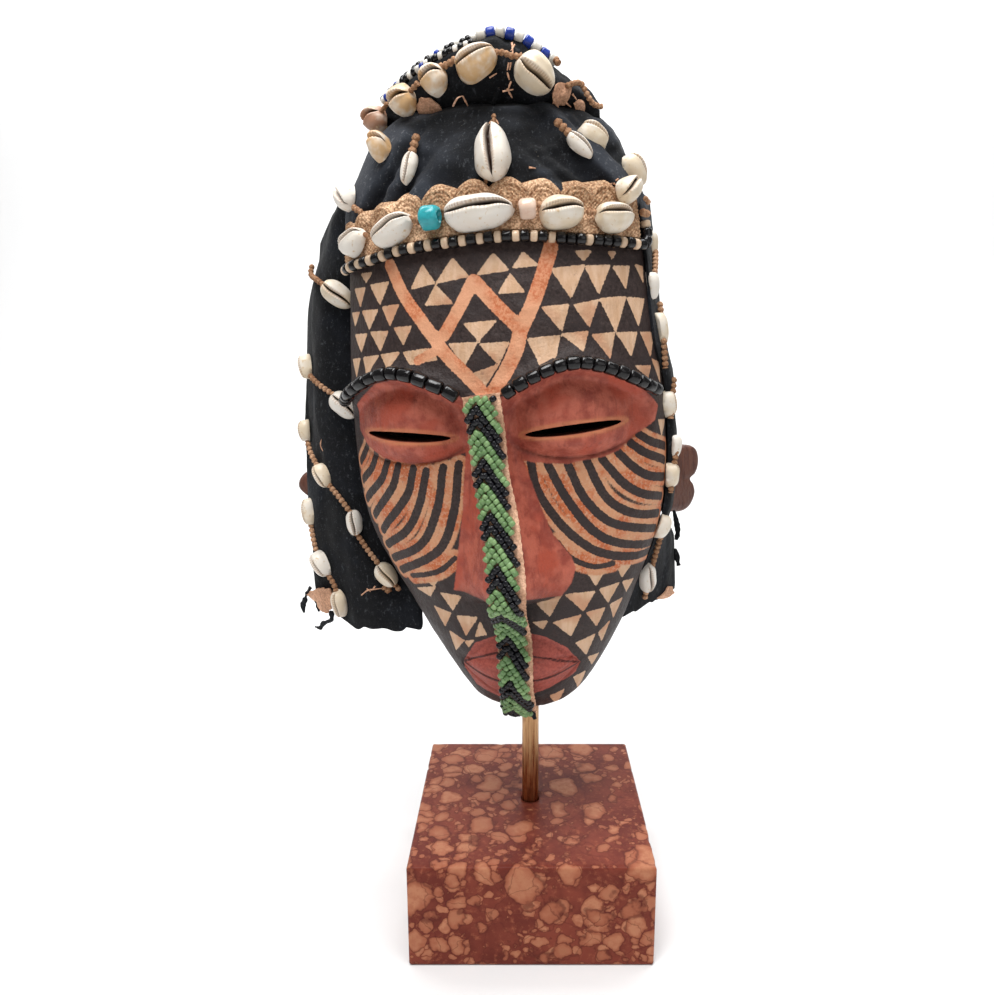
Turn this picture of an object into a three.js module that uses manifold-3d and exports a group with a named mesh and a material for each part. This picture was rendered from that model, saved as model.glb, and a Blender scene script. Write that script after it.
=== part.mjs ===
// A carved and beaded Kuba mask on a brass rod and a square marble base.
// Millimetres, +Z up, the viewer stands on -Y. The origin is the middle of the base's underside.
// The mask has its own frame: x to the viewer's right, "depth" towards the viewer from the
// plane of the face's rim (so y = -depth), and height above the top of the marble.

import * as THREE from 'three';
import { mergeVertices } from 'three/addons/utils/BufferGeometryUtils.js';
import Module from 'manifold-3d';

const wasm = await Module();
wasm.setup();

// Driving dimensions
const baseSide = 134;
const baseHeight = 60;
const baseArris = 1.5;
const rodRadius = 5;
const fitGap = 0.3;
const rodSeatInBase = 30;
const rodSeatInChin = 27;

const maskYaw = THREE.MathUtils.degToRad(7);
const maskLean = THREE.MathUtils.degToRad(3.6);
const leanPivot = 60;
const rimForward = 18;

const chinHeight = 72;
const woodTop = 329.6;
const capBottom = 330;
const woodBack = -58;
const wallThickness = 9.5;
const frontThickness = 13;
const hollowFloor = 104;
const clothThickness = 4;
const restGap = 0.5;
const earThickness = 11;
const earPlace = 46;
const beadRadius = 2.9;
const browBeadRadius = 3.4;
const stripWidth = 17;
const stripThickness = 4;
const bandThickness = 2.8;
const cordRadius = 1.5;
const cordSides = 4;
const knotSpacing = 6;

const faceSkew = -3.5;
const browRow = 252;
const eyeDistance = 41.5;
const eyeHeight = 232.5;
const mouthCentre = 2;
const mouthHeight = 106;
const mouthHalfLength = 32;
const lipReach = 18;

// A smooth curve through (position, value) knots
function through(knots) {
  const slope = (a, b) => (b[1] - a[1]) / (b[0] - a[0]);
  const tangents = knots.map((knot, i) => {
    const before = knots[Math.max(0, i - 1)];
    const after = knots[Math.min(knots.length - 1, i + 1)];
    return slope(before, after);
  });
  return (position) => {
    const last = knots.length - 2;
    let i = 0;
    while (i < last && position > knots[i + 1][0]) i += 1;
    const [p0, v0] = knots[i];
    const [p1, v1] = knots[i + 1];
    const span = p1 - p0;
    const t = THREE.MathUtils.clamp((position - p0) / span, 0, 1);
    const s = 1 - t;
    return (
      v0 * s * s * (1 + 2 * t) +
      v1 * t * t * (3 - 2 * t) +
      span * (tangents[i] * t * s * s - tangents[i + 1] * t * t * s)
    );
  };
}

const smooth = (low, high, x) => THREE.MathUtils.smoothstep(x, low, high);
const point = (x, depth, height) => new THREE.Vector3(x, -depth, height);

// Shape of the head: half width of the outline, its middle, depth there, and the line of the brows
const halfWidth = through([
  [chinHeight, 8], [75, 18.5], [81, 27.2], [87, 33], [99, 41], [111, 48], [126, 56], [141, 62.8],
  [157, 70.5], [180, 79.2], [205, 83.2], [235, 83.7], [271, 81.7], [300, 79], [330, 76.8],
]);
const middleX = through([[chinHeight, 1.5], [100, 2.8], [130, 2.8], [165, 1], [200, 0]]);
const middleDepth = through([
  [chinHeight, 6], [75, 13], [81, 22], [87, 27.5], [96, 31], [108, 33.5], [125, 36], [145, 38],
  [182, 41], [211, 43.5], [235, 47], [255, 51.5], [275, 50.5], [300, 47], [330, 40],
]);
const browLine = through([[4, 248], [20, 257], [42, 264], [62, 259], [84, 245]]);
const noseMiddle = through([[144, 3.5], [165, 3], [182, 1.5], [211, -1], [252, faceSkew]]);
const noseHalfWidth = through([[144, 29], [156, 31], [166, 28], [182, 21], [211, 12], [252, 7]]);
const noseRise = through([
  [144, 0], [148, 15], [153, 21.5], [162, 21], [182, 17], [211, 11], [235, 6], [252, 1],
]);

// Carving that stands on the plain face, or is sunk in it
function carving(x, height) {
  const side = Math.abs(x - faceSkew);
  const brow = browLine(side);
  const below = brow - height;
  const towardsRim = 1 - smooth(70, 82, side);
  const ridge = 3 * Math.exp(-((below / 6) ** 2)) * towardsRim;
  const socket = 5 * smooth(0, 9, below) * (1 - smooth(22, 50, below)) *
    smooth(5, 16, side) * towardsRim;
  const tall = height > eyeHeight ? 26 : 14.5;
  const lid = 1 - ((side - eyeDistance) / 33) ** 2 - ((height - eyeHeight) / tall) ** 2;
  const eye = 7.5 * smooth(-0.05, 0.95, lid);
  let nose = 0;
  if (height > 144 && height < 252) {
    const across = Math.abs(x - noseMiddle(height)) / noseHalfWidth(height);
    nose = noseRise(height) * (1 - smooth(0.15, 1, across));
  }
  return ridge - socket + eye + nose + lips(x, height);
}

// Two full lips that meet in a point at each corner of the mouth
function lips(x, height) {
  const along = (x - mouthCentre) / mouthHalfLength;
  const inside = 1 - along * along - Math.abs(height - mouthHeight) / lipReach;
  return 5.5 * smooth(0, 0.8, inside);
}

// Depth of the plain head and of the carved face at a place seen from the front
function headDepth(x, height) {
  const across = Math.min(1, Math.abs(x - middleX(height)) / halfWidth(height));
  return middleDepth(height) * Math.sqrt(1 - across ** 2.2);
}

function faceDepth(x, height) {
  return headDepth(x, height) + carving(x, height);
}

// Solids

function toManifold(geometry) {
  const plain = geometry.clone();
  plain.deleteAttribute('normal');
  plain.deleteAttribute('uv');
  const merged = mergeVertices(plain, 1e-4);
  return new wasm.Manifold(new wasm.Mesh({
    numProp: 3,
    vertProperties: new Float32Array(merged.attributes.position.array),
    triVerts: new Uint32Array(merged.index.array),
  }));
}

function fromManifold(solid) {
  const mesh = solid.getMesh();
  const geometry = new THREE.BufferGeometry();
  geometry.setAttribute('position', new THREE.BufferAttribute(mesh.vertProperties, 3));
  geometry.setIndex(new THREE.BufferAttribute(mesh.triVerts, 1));
  return geometry;
}

function volume(positions, indices) {
  let sum = 0;
  const corner = (i) => new THREE.Vector3().fromArray(positions, indices[i] * 3);
  for (let i = 0; i < indices.length; i += 3) {
    sum += corner(i).dot(corner(i + 1).cross(corner(i + 2)));
  }
  return sum;
}

// A closed body through rings of points, each end closed at a pole
function loft(rings, startPole, endPole) {
  const count = rings[0].length;
  const middle = (ring) => ring.reduce((sum, p) => sum.add(p), new THREE.Vector3())
    .divideScalar(ring.length);
  const points = rings.flat();
  points.push(startPole ?? middle(rings[0]), endPole ?? middle(rings[rings.length - 1]));
  const start = points.length - 2;
  const end = points.length - 1;
  const indices = [];
  for (let i = 0; i < count; i += 1) {
    const next = (i + 1) % count;
    indices.push(start, next, i);
    for (let r = 0; r + 1 < rings.length; r += 1) {
      const a = r * count;
      const b = a + count;
      indices.push(a + i, a + next, b + next, a + i, b + next, b + i);
    }
    const last = (rings.length - 1) * count;
    indices.push(end, last + i, last + next);
  }
  const positions = new Float32Array(points.flatMap((p) => [p.x, p.y, p.z]));
  if (volume(positions, indices) < 0) indices.reverse();
  const geometry = new THREE.BufferGeometry();
  geometry.setAttribute('position', new THREE.BufferAttribute(positions, 3));
  geometry.setIndex(indices);
  return geometry;
}

// A curve's points with a frame at each: along it, outwards and sideways
function framesAlong(curve, steps, outward) {
  return Array.from({ length: steps + 1 }, (_, i) => {
    const at = curve.getPointAt(i / steps);
    const along = curve.getTangentAt(i / steps);
    const out = outward.clone().addScaledVector(along, -outward.dot(along)).normalize();
    return { at, out, side: new THREE.Vector3().crossVectors(out, along) };
  });
}

// Threaded beads, or a knotted cord, in one body: full at each bead and thin between two
function beadString(places, beads, radiusAt, outward = point(0, 1, 0), sides = 5) {
  const frames = framesAlong(new THREE.CatmullRomCurve3(places), beads * 2, outward);
  return loft(frames.map((frame, step) => {
    const radius = radiusAt(step / (beads * 2)) * (step % 2 ? 1 : 0.8);
    return Array.from({ length: sides }, (_, i) => {
      const angle = (i / sides) * 2 * Math.PI;
      return frame.at.clone()
        .addScaledVector(frame.out, radius * Math.cos(angle))
        .addScaledVector(frame.side, radius * Math.sin(angle));
    });
  }));
}

// A cowrie with its back cut flat: long along x, its slit facing +z
function cowrie(length, width) {
  const height = width * 0.62;
  const outline = [[1, 0], [0.94, 0.5], [0.3, 1], [0, 0.68], [-0.3, 1], [-0.94, 0.5], [-1, 0]];
  const rings = [-0.72, 0.05, 0.72].map((station) => {
    const fullness = Math.sqrt(1 - Math.abs(station) ** 2.6) * (1 - 0.12 * station);
    return outline.map(([across, up]) => new THREE.Vector3(
      (station * length) / 2,
      (across * fullness * width) / 2,
      up * height * (0.35 + 0.65 * fullness),
    ));
  });
  const tip = (end) => new THREE.Vector3((end * length) / 2, 0, height * 0.25);
  return loft(rings, tip(-1), tip(1));
}

// Frame of a place on a surface, whose first direction runs to the viewer's right and whose
// second runs up. The x axis lies along the surface, turned up by an angle, and z stands out
function seatOn(surface, u, v, turn, lift) {
  const step = 0.01;
  const at = surface(u, v);
  const acrossward = surface(u + step, v).sub(surface(u - step, v)).normalize();
  const upward = surface(u, v + step * 50).sub(surface(u, v - step * 50)).normalize();
  const normal = new THREE.Vector3().crossVectors(acrossward, upward).normalize();
  const side = new THREE.Vector3().crossVectors(normal, acrossward);
  const angle = THREE.MathUtils.degToRad(turn);
  const along = acrossward.clone().multiplyScalar(Math.cos(angle))
    .addScaledVector(side, Math.sin(angle));
  const second = new THREE.Vector3().crossVectors(normal, along);
  return new THREE.Matrix4().makeBasis(along, second, normal)
    .setPosition(at.addScaledVector(normal, lift));
}

function lifted(surface, u, v, lift) {
  return new THREE.Vector3().setFromMatrixPosition(seatOn(surface, u, v, 0, lift));
}

// Scene graph

const mask = new THREE.Group();
mask.position.set(0, -rimForward, -leanPivot);
const stance = new THREE.Group();
stance.position.set(0, 0, baseHeight + leanPivot);
stance.rotation.set(0, -maskLean, -maskYaw, 'ZYX');
stance.add(mask);
const object = new THREE.Group();
object.add(stance);
object.updateMatrixWorld(true);

function finish(color, roughness, metalness = 0) {
  return new THREE.MeshStandardMaterial({ color, roughness, metalness });
}
const finishes = {
  marble: finish(0x8a4a3a, 0.25),
  brass: finish(0xb08a50, 0.3, 1),
  wood: finish(0x7a4a38, 0.6),
  cloth: finish(0x17181d, 0.9),
  raffia: finish(0xb08a5e, 0.85),
  blackGlass: finish(0x14110f, 0.2),
  greenGlass: finish(0x5fa565, 0.3),
  turquoise: finish(0x1d9aa8, 0.3),
  whiteBead: finish(0xdcc9b4, 0.4),
  shell: finish(0xe8dcc4, 0.35),
};

function add(parent, name, geometry, material) {
  const mesh = new THREE.Mesh(geometry, material);
  mesh.name = name;
  parent.add(mesh);
}

// Marble base: a block with small worn arrises, and a blind hole for the rod
function squareRing(half, height) {
  return [[-1, -1], [1, -1], [1, 1], [-1, 1]].map(
    ([x, y]) => new THREE.Vector3(x * half, y * half, height),
  );
}

function cylinder(radius, low, high, sides = 20) {
  const geometry = new THREE.CylinderGeometry(radius, radius, high - low, sides);
  geometry.rotateX(Math.PI / 2);
  geometry.translate(0, 0, (low + high) / 2);
  return geometry;
}

function marbleBase() {
  const half = baseSide / 2;
  const block = loft([
    squareRing(half - baseArris, 0),
    squareRing(half, baseArris),
    squareRing(half, baseHeight - baseArris),
    squareRing(half - baseArris, baseHeight),
  ]);
  const hole = cylinder(rodRadius + fitGap, baseHeight - rodSeatInBase, baseHeight + 5);
  return fromManifold(toManifold(block).subtract(toManifold(hole)));
}
add(object, 'marble_base', marbleBase(), finishes.marble);

const rodTop = baseHeight + chinHeight + rodSeatInChin;
const rodFoot = baseHeight - rodSeatInBase + fitGap;
add(object, 'brass_rod', cylinder(rodRadius, rodFoot, rodTop - fitGap), finishes.brass);

// Carved face: the outside, less the hollow, the two eye slits and the rod's seat, with the ears
const noseColumns = [-1.04, -0.8, -0.5, -0.2, 0.2, 0.5, 0.8, 1.04];
const cheekColumns = 8;

// Columns keep to the sides of the nose, and spread from there to the rim
function frontXs(height) {
  const half = halfWidth(height);
  const middle = middleX(height);
  const noseHalf = Math.min(noseHalfWidth(height), half * 0.45);
  const nose = noseColumns.map((share) => noseMiddle(height) + share * noseHalf);
  const cheek = (edge, side) => Array.from({ length: cheekColumns }, (_, i) => {
    const share = Math.sin((Math.PI / 2) * ((i + 1) / cheekColumns));
    return THREE.MathUtils.lerp(edge, middle + side * half, share);
  });
  return [...cheek(nose[0], -1).reverse(), ...nose, ...cheek(nose[nose.length - 1], 1)];
}

// Rows follow the line of the brows, and level out above and below
function rowHeight(row, x) {
  const follow = smooth(222, 247, row) * (1 - smooth(256, 300, row));
  return row + follow * (browLine(Math.abs(x - faceSkew)) - browRow);
}

function woodRing(row) {
  const back = woodBack + 18 * (1 - smooth(chinHeight, 100, row));
  const front = frontXs(row).map((x, i, { length }) => {
    const height = rowHeight(row, x);
    const atRim = i === 0 || i === length - 1;
    return point(x, atRim ? 0 : faceDepth(x, height), height);
  });
  const rimLeft = front[0];
  const rimRight = front[front.length - 1];
  const right = [0.5, 1].map((t) => point(rimRight.x, back * t, rimRight.z));
  const left = [1, 0.5].map((t) => point(rimLeft.x, back * t, rimLeft.z));
  return [...front, ...right, ...left];
}

function levels(low, high, count) {
  return Array.from({ length: count + 1 }, (_, i) => low + ((high - low) * i) / count);
}

// The space behind the face, open to the back and up into the cap
function hollow() {
  const openBack = woodBack - 20;
  const floorInset = 5;
  const heights = [hollowFloor, hollowFloor + 4, 125, 155, 190, 230, 260, 290, woodTop + 8];
  return loft(heights.map((height) => {
    const inset = height === hollowFloor ? floorInset : 0;
    const half = halfWidth(height) - wallThickness - inset;
    const middle = middleX(height);
    const front = middleDepth(height) - frontThickness - inset;
    const arc = Array.from({ length: 13 }, (_, i) => {
      const x = half * Math.sin((Math.PI / 2) * ((2 * i) / 12 - 1));
      const bulge = Math.sqrt(1 - Math.min(1, Math.abs(x / half)) ** 2.2);
      return point(middle + x, front * bulge, height);
    });
    return [...arc, point(middle + half, openBack, height), point(middle - half, openBack, height)];
  }));
}

function eyeSlit(side) {
  const halfLength = 23;
  const halfHeight = 2.4;
  const rise = 0.065;
  const outline = Array.from({ length: 10 }, (_, i) => {
    const angle = (i / 10) * 2 * Math.PI;
    const along = Math.cos(angle) * halfLength;
    return [along, Math.sin(angle) * halfHeight + along * rise];
  });
  const ring = (depth) => outline.map(
    ([along, up]) => point(faceSkew + side * (eyeDistance + along), depth, eyeHeight + up),
  );
  return loft([ring(6), ring(70)]);
}

// An ear is a flat lug with two lobes, standing out of the side wall at an angle
function ear(side, turn, low, high, reach) {
  const tall = high - low;
  const root = -8;
  const shape = new THREE.Shape();
  shape.moveTo(root, tall * 0.12);
  shape.lineTo(reach * 0.45, 0);
  shape.quadraticCurveTo(reach * 0.85, 0, reach * 0.86, tall * 0.22);
  shape.quadraticCurveTo(reach * 0.86, tall * 0.42, reach * 0.7, tall * 0.47);
  shape.quadraticCurveTo(reach, tall * 0.5, reach, tall * 0.72);
  shape.quadraticCurveTo(reach, tall, reach * 0.6, tall);
  shape.lineTo(root, tall * 0.88);
  const lug = new THREE.ExtrudeGeometry(
    shape,
    { depth: earThickness, bevelEnabled: false, curveSegments: 2 },
  );
  lug.translate(0, 0, -earThickness / 2);
  lug.rotateX(Math.PI / 2);
  lug.rotateZ(side > 0 ? turn : Math.PI - turn);
  lug.translate(side * halfWidth((low + high) / 2), earPlace, low);
  return lug;
}

function carvedFace() {
  const rows = [
    chinHeight, 75, 78.5, 82, 86, ...levels(90, 118, 6), 123, 130, 138, 144, 148, 152,
    160, 170, 181, 192, 203, 213, 219, ...levels(224, 242, 4), 246, 249, browRow, 256, 262,
    275, 300, woodTop,
  ];
  const seat = cylinder(rodRadius + fitGap, baseHeight + leanPivot - 10, rodTop);
  seat.applyMatrix4(mask.matrixWorld.clone().invert());
  const wood = toManifold(loft(rows.map(woodRing)))
    .add(toManifold(ear(-1, THREE.MathUtils.degToRad(4), 165, 206, 61.5)))
    .add(toManifold(ear(1, THREE.MathUtils.degToRad(48), 168, 208, 34)))
    .subtract(toManifold(hollow()))
    .subtract(toManifold(eyeSlit(-1)))
    .subtract(toManifold(eyeSlit(1)))
    .subtract(toManifold(seat));
  return fromManifold(wood);
}
add(mask, 'carved_face', carvedFace(), finishes.wood);

// Cap: a cloth dome over the head. Each level gives the height, half width, middle, front depth,
// where the front arc ends, where the back arc begins, and the back
const capLevels = [
  [capBottom, 76.5, 0, 40, 0, -40, -78],
  [343, 76, -0.5, 39, -2, -40, -77],
  [356, 74, -0.5, 36.5, -5, -38, -74],
  [368, 70, -0.5, 32, -8, -35, -69],
  [379, 63.5, -0.5, 25.5, -12, -32, -61],
  [387, 56.5, -1.5, 18, -16, -29, -52],
  [393, 45, -3, 6, -18, -26, -40],
];
const capPole = [396, -4, -22];

function capAt(height) {
  return [1, 2, 3, 4, 5, 6].map((item) => through(capLevels.map((l) => [l[0], l[item]]))(height));
}

function capRing([half, middle, front, frontEnd, backStart, back], height, grow = 0) {
  const arc = (count, turn, base, reach, power) => Array.from({ length: count + 1 }, (_, i) => {
    const x = Math.sin((Math.PI / 2) * ((2 * i) / count - 1)) * turn;
    const bulge = Math.max(0, 1 - Math.abs(x) ** power) ** (1 / 2);
    return point(middle + x * (half + grow), base + reach * bulge, height);
  });
  return [
    ...arc(12, 1, frontEnd, front + grow - frontEnd, 2.2),
    ...arc(8, -1, backStart, back - grow - backStart, 2.5),
  ];
}

function capOutside(grow) {
  const rings = capLevels.map(([height, ...level]) => capRing(level, height, grow));
  const [height, x, depth] = capPole;
  return { rings, pole: point(x, depth, height + grow) };
}

function cap() {
  const outside = capOutside(0);
  const insideHeights = [375, 366, 352, 340, capBottom];
  const inside = insideHeights.map((height) => {
    const widening = height > 368 ? -10 : 0;
    return capRing(capAt(height), height, widening - 5);
  });
  const insidePole = point(capPole[1], capPole[2], 383);
  return loft([...inside, ...outside.rings], insidePole, outside.pole);
}
add(mask, 'cap', cap(), finishes.cloth);

// Surface of the head: t runs from -1 at the left side to 1 at the right side
function crown(t, height) {
  const onWood = [halfWidth(height), 0, middleDepth(height), 0];
  const [half, middle, front, frontEnd] = height < capBottom ? onWood : capAt(height);
  const across = Math.sin((Math.PI / 2) * t);
  const bulge = Math.sqrt(1 - Math.min(1, Math.abs(across)) ** 2.2);
  return point(middle + across * half, frontEnd + (front - frontEnd) * bulge, height);
}

// Crest: a stuffed roll across the top of the cap, highest a little right of the middle.
// Each station gives x, the underside, the top, the middle's depth and the half depth
const crestStations = [
  [-60, 388, 394, -14, 4], [-55, 386, 401, -12, 9], [-44, 387, 407, -7, 13],
  [-29, 387.5, 413.5, -1, 16], [-12, 388, 418.5, 3, 17.5], [5, 388, 422, 4, 18],
  [18, 387.5, 419, 3, 17.5], [30, 387, 410.5, 0, 16], [42, 386, 402, -5, 13],
  [52, 384, 395, -10, 9], [56, 384.5, 390.5, -12, 5],
];

function crestAt(x) {
  return [1, 2, 3, 4].map((item) => through(crestStations.map((s) => [s[0], s[item]]))(x));
}

function crest() {
  const rises = Array.from({ length: 10 }, (_, i) => 18 + i * 36);
  const rings = crestStations.map(([x]) => rises.map((rise) => crestSurface(x, rise)));
  const cleared = capOutside(restGap);
  return fromManifold(toManifold(loft(rings)).subtract(toManifold(loft(
    cleared.rings,
    undefined,
    cleared.pole,
  ))));
}
add(mask, 'crest', crest(), finishes.cloth);

// Surface of the crest: rise is the angle from its front up to its top, in degrees
function crestSurface(x, rise) {
  const [low, high, depth, reach] = crestAt(x);
  const angle = THREE.MathUtils.degToRad(rise);
  const up = (Math.sin(angle) * (high - low)) / 2;
  return point(x, depth + reach * Math.cos(angle), (low + high) / 2 + up);
}

// Hanging cloth: a slab whose level section runs through three points from its inner edge
const sideOfHead = (height) => (height < capBottom ? halfWidth(height) : capAt(height)[0]);
const besideHead = restGap + clothThickness / 2 + 0.4;
const leftEdge = through([
  [105, -124], [139, -127.5], [189, -123.5], [249, -119.5], [284, -115.5], [306, -111.5],
  [333, -100.5], [346, -92], [358, -82],
]);
const rightEdge = through([
  [115, 87], [157, 87.3], [238, 87], [271, 85.7], [292, 83.5], [319, 81.5], [352, 79.3],
]);

const leftLappet = {
  top: 357,
  bottom: (s) => 114.3 + 17 * (1 - smooth(0, 0.35, s)) + 11 * smooth(0.86, 1, s),
  section: (height) => {
    const inner = middleX(height) - sideOfHead(height) - besideHead;
    const outer = Math.min(leftEdge(height), inner - 3);
    return [point(outer, -22, height), point((inner + outer) / 2, 2, height),
      point(inner, -7, height)];
  },
};
// Its inner edge wraps over the rim of the face at the top, and hangs beside the rim below
const rightLappet = {
  top: 343,
  bottom: (s) => 122.5 + 3 * s,
  section: (height) => {
    const wrap = smooth(276, 312, height);
    const side = middleX(height) + sideOfHead(height) + besideHead;
    const onRim = lifted(crown, 1 - 0.13 * wrap, height, besideHead);
    const inner = onRim.lerp(point(side, -7, height), 1 - wrap);
    const outer = Math.max(rightEdge(height), side + 0.2);
    const bend = THREE.MathUtils.lerp((side + outer) / 2 + 1, side + 2.6, wrap);
    return [inner, point(bend, THREE.MathUtils.lerp(-19, 4, wrap), height),
      point(outer, -35, height)];
  },
};
const neckCloth = {
  top: capBottom - fitGap,
  bottom: () => 112,
  section: (height) => {
    const half = THREE.MathUtils.mapLinear(height, 330, 112, 72, 84);
    return [point(-half, -62, height), point(0, -102, height), point(half, -62, height)];
  },
};

// Middle surface of a hanging cloth at a share of its width
function clothPoint(cloth, share, height) {
  return new THREE.QuadraticBezierCurve3(...cloth.section(height)).getPoint(share);
}

function hangingCloth(cloth, columns, rows) {
  const shares = levels(0, 1, columns);
  const ring = (row) => {
    const surface = (share, height) => clothPoint(cloth, share, height);
    const place = (share, lift) => {
      const height = THREE.MathUtils.lerp(cloth.top, cloth.bottom(share), row);
      return lifted(surface, share, height, lift);
    };
    const half = clothThickness / 2;
    return [
      ...shares.map((s) => place(s, half)),
      ...shares.toReversed().map((s) => place(s, -half)),
    ];
  };
  return loft(levels(0, 1, rows).map(ring));
}
add(mask, 'left_lappet', hangingCloth(leftLappet, 6, 10), finishes.cloth);
add(mask, 'right_lappet', hangingCloth(rightLappet, 5, 10), finishes.cloth);
add(mask, 'neck_cloth', hangingCloth(neckCloth, 8, 4), finishes.cloth);

// Headband: tan cloth across the forehead with a scalloped top edge, a bead string under it
const beadLine = through([
  [-0.8, 316], [-0.5, 318.2], [-0.35, 320.5], [-0.15, 321.8], [0.14, 322.6], [0.3, 320.4],
  [0.55, 318.2], [0.78, 317.2],
]);
const bandTop = through([
  [-0.8, 339], [-0.45, 345], [-0.15, 350], [0.1, 350.5], [0.4, 347], [0.7, 347.5], [0.78, 345],
]);
const bandLeft = -0.8;
const bandRight = 0.75;

function headband() {
  const stations = 33;
  const scallops = 11;
  return loft(Array.from({ length: stations + 1 }, (_, i) => {
    const t = THREE.MathUtils.lerp(bandLeft, bandRight, i / stations);
    const scallop = 4 * (Math.abs(Math.sin((i / stations) * scallops * Math.PI)) - 1);
    const low = beadLine(t) + beadRadius + fitGap;
    const high = bandTop(t) + scallop;
    const inside = restGap + 0.2;
    const outside = inside + bandThickness;
    return [[low, inside], [low, outside], [high, outside], [high, inside]]
      .map(([height, lift]) => lifted(crown, t, height, lift));
  }));
}
add(mask, 'raffia_headband', headband(), finishes.raffia);

function headbandBeads() {
  const lift = beadRadius + restGap;
  const places = levels(bandLeft, bandRight, 14)
    .map((t) => lifted(crown, t, beadLine(t), lift));
  places.push(lifted(crown, 0.8, 320, lift), lifted(crown, 0.805, 329, lift));
  return beadString(places, 29, () => beadRadius);
}
add(mask, 'headband_beads', headbandBeads(), finishes.blackGlass);

// Beads over the eyes, on the ridge of each brow
const carvedSurface = (x, height) => point(x, faceDepth(x, height), height);

function browBeads(side, reach) {
  const places = levels(10.5, reach, 8).map((out) => lifted(
    carvedSurface,
    faceSkew + side * out,
    browLine(out),
    browBeadRadius + 0.7,
  ));
  return beadString(places, 12, () => browBeadRadius);
}
add(mask, 'brow_beads_left', browBeads(-1, 77), finishes.blackGlass);
add(mask, 'brow_beads_right', browBeads(1, 80.5), finishes.blackGlass);

// Beaded cloth strip from the brow down the nose and over the mouth to the chin.
// Each station gives the height, x and the depth of its middle
const stripStations = [
  [252, -3.6, 59.6], [244, -3, 59.6], [235, -2.5, 58], [211, -1, 58.4], [182, 1.5, 61.8],
  [165, 2.5, 64], [154, 2.6, 64.4], [149, 2.4, 63], [142, 2, 55], [133, 1.6, 45.5], [124, 1.6, 41.8],
  [115, 1.5, 43.2], [106, 1.4, 42.6], [97, 1, 40.6], [88, 0.4, 34.6],
  [80, -0.2, 28], [73, -0.6, 21],
];

function noseStrip() {
  const path = new THREE.CatmullRomCurve3(stripStations.map(([h, x, depth]) => point(x, depth, h)));
  return loft(framesAlong(path, 26, point(0, 1, 0)).map(({ at, out, side }) => [
    [-1, -1], [1, -1], [1, 1], [-1, 1],
  ].map(([across, front]) => at.clone()
    .addScaledVector(side, (across * stripWidth) / 2)
    .addScaledVector(out, (front * stripThickness) / 2))));
}
add(mask, 'nose_bead_strip', noseStrip(), finishes.greenGlass);

// Beads along the top of the crest, larger at their right end
function crestBeads() {
  const radiusAt = (share) => THREE.MathUtils.lerp(1.9, 2.8, smooth(0.6, 0.8, share));
  const places = levels(0, 1, 10).map((share) => {
    const x = THREE.MathUtils.lerp(-53, 33, share);
    return lifted(crestSurface, x, 56, radiusAt(share) + restGap);
  });
  return beadString(places, 22, radiusAt, point(0, 0, 1));
}
add(mask, 'crest_beads', crestBeads(), finishes.whiteBead);

// A short drum bead threaded level with the band
function drumBead(length, radius) {
  const sides = 8;
  const ring = (x, size) => Array.from({ length: sides }, (_, i) => {
    const angle = (i / sides) * 2 * Math.PI;
    return new THREE.Vector3(x, size * Math.cos(angle), radius + size * Math.sin(angle));
  });
  const end = length / 2;
  return loft([
    ring(-end, radius * 0.7), ring(-end * 0.5, radius), ring(end * 0.5, radius), ring(end, radius * 0.7),
  ]);
}

// Seat of a thing sewn to the head, from its x and height
function onHead(x, height, turn, lift) {
  const [half, middle] = height < capBottom ? [halfWidth(height), 0] : capAt(height);
  const across = THREE.MathUtils.clamp((x - middle) / half, -0.98, 0.98);
  return seatOn(crown, (Math.asin(across) * 2) / Math.PI, height, turn, lift);
}

const onBand = restGap + 0.2 + bandThickness + 0.9;
add(mask, 'turquoise_bead', drumBead(9.3, 5.6).applyMatrix4(
  onHead(-21.8, 333.5, 0, onBand),
), finishes.turquoise);
add(mask, 'white_bead', drumBead(7.9, 4.7).applyMatrix4(
  onHead(21.4, 334, 0, onBand),
), finishes.whiteBead);

// Single shells: x, height, length, width, turn of the slit
const bandShells = {
  cowrie_band_1: [-62.5, 327.5, 16, 12.5, 30],
  cowrie_band_2: [-41.3, 331, 22.5, 13.5, 24],
  cowrie_band_3: [-0.3, 334.6, 33, 16.5, 2],
  cowrie_band_4: [36.3, 332, 21, 15.5, 2],
  cowrie_band_5: [58.3, 328.5, 19, 14, -3],
  cowrie_band_6: [65, 342, 15, 12, 35],
};
const capShells = {
  cowrie_cap_left: [-46.5, 369.5, 10.5, 15.5, 12],
  cowrie_cap_shoulder: [-68.5, 350.5, 14, 13, -45],
  cowrie_cap_front: [6.3, 361.8, 27, 17, 90],
  cowrie_cap_right_1: [53, 369.3, 17, 14, -38],
  cowrie_cap_right_2: [70.5, 352.8, 17, 12, -62],
};
for (const [name, [x, height, length, width, turn]] of Object.entries(bandShells)) {
  const seat = onHead(x, height, turn, onBand);
  add(mask, name, cowrie(length, width).applyMatrix4(seat), finishes.shell);
}
for (const [name, [x, height, length, width, turn]] of Object.entries(capShells)) {
  const seat = onHead(x, height, turn, restGap + 0.3);
  add(mask, name, cowrie(length, width).applyMatrix4(seat), finishes.shell);
}

// Shells on the crest: x, rise, length, width, turn of the slit
const crestShells = {
  cowrie_crest_1: [-55, -12, 12.5, 13, 14],
  cowrie_crest_2: [-37.6, -9, 13, 15.5, 8],
  cowrie_crest_3: [-20.8, 1, 13, 15.5, 14],
  cowrie_crest_4: [0.2, 8, 20.5, 16.5, 17],
  cowrie_crest_5: [26, -3, 20.5, 17, -24],
};
for (const [name, [x, rise, length, width, turn]] of Object.entries(crestShells)) {
  const seat = seatOn(crestSurface, x, rise, turn, restGap + 1.4);
  add(mask, name, cowrie(length, width).applyMatrix4(seat), finishes.shell);
}

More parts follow.
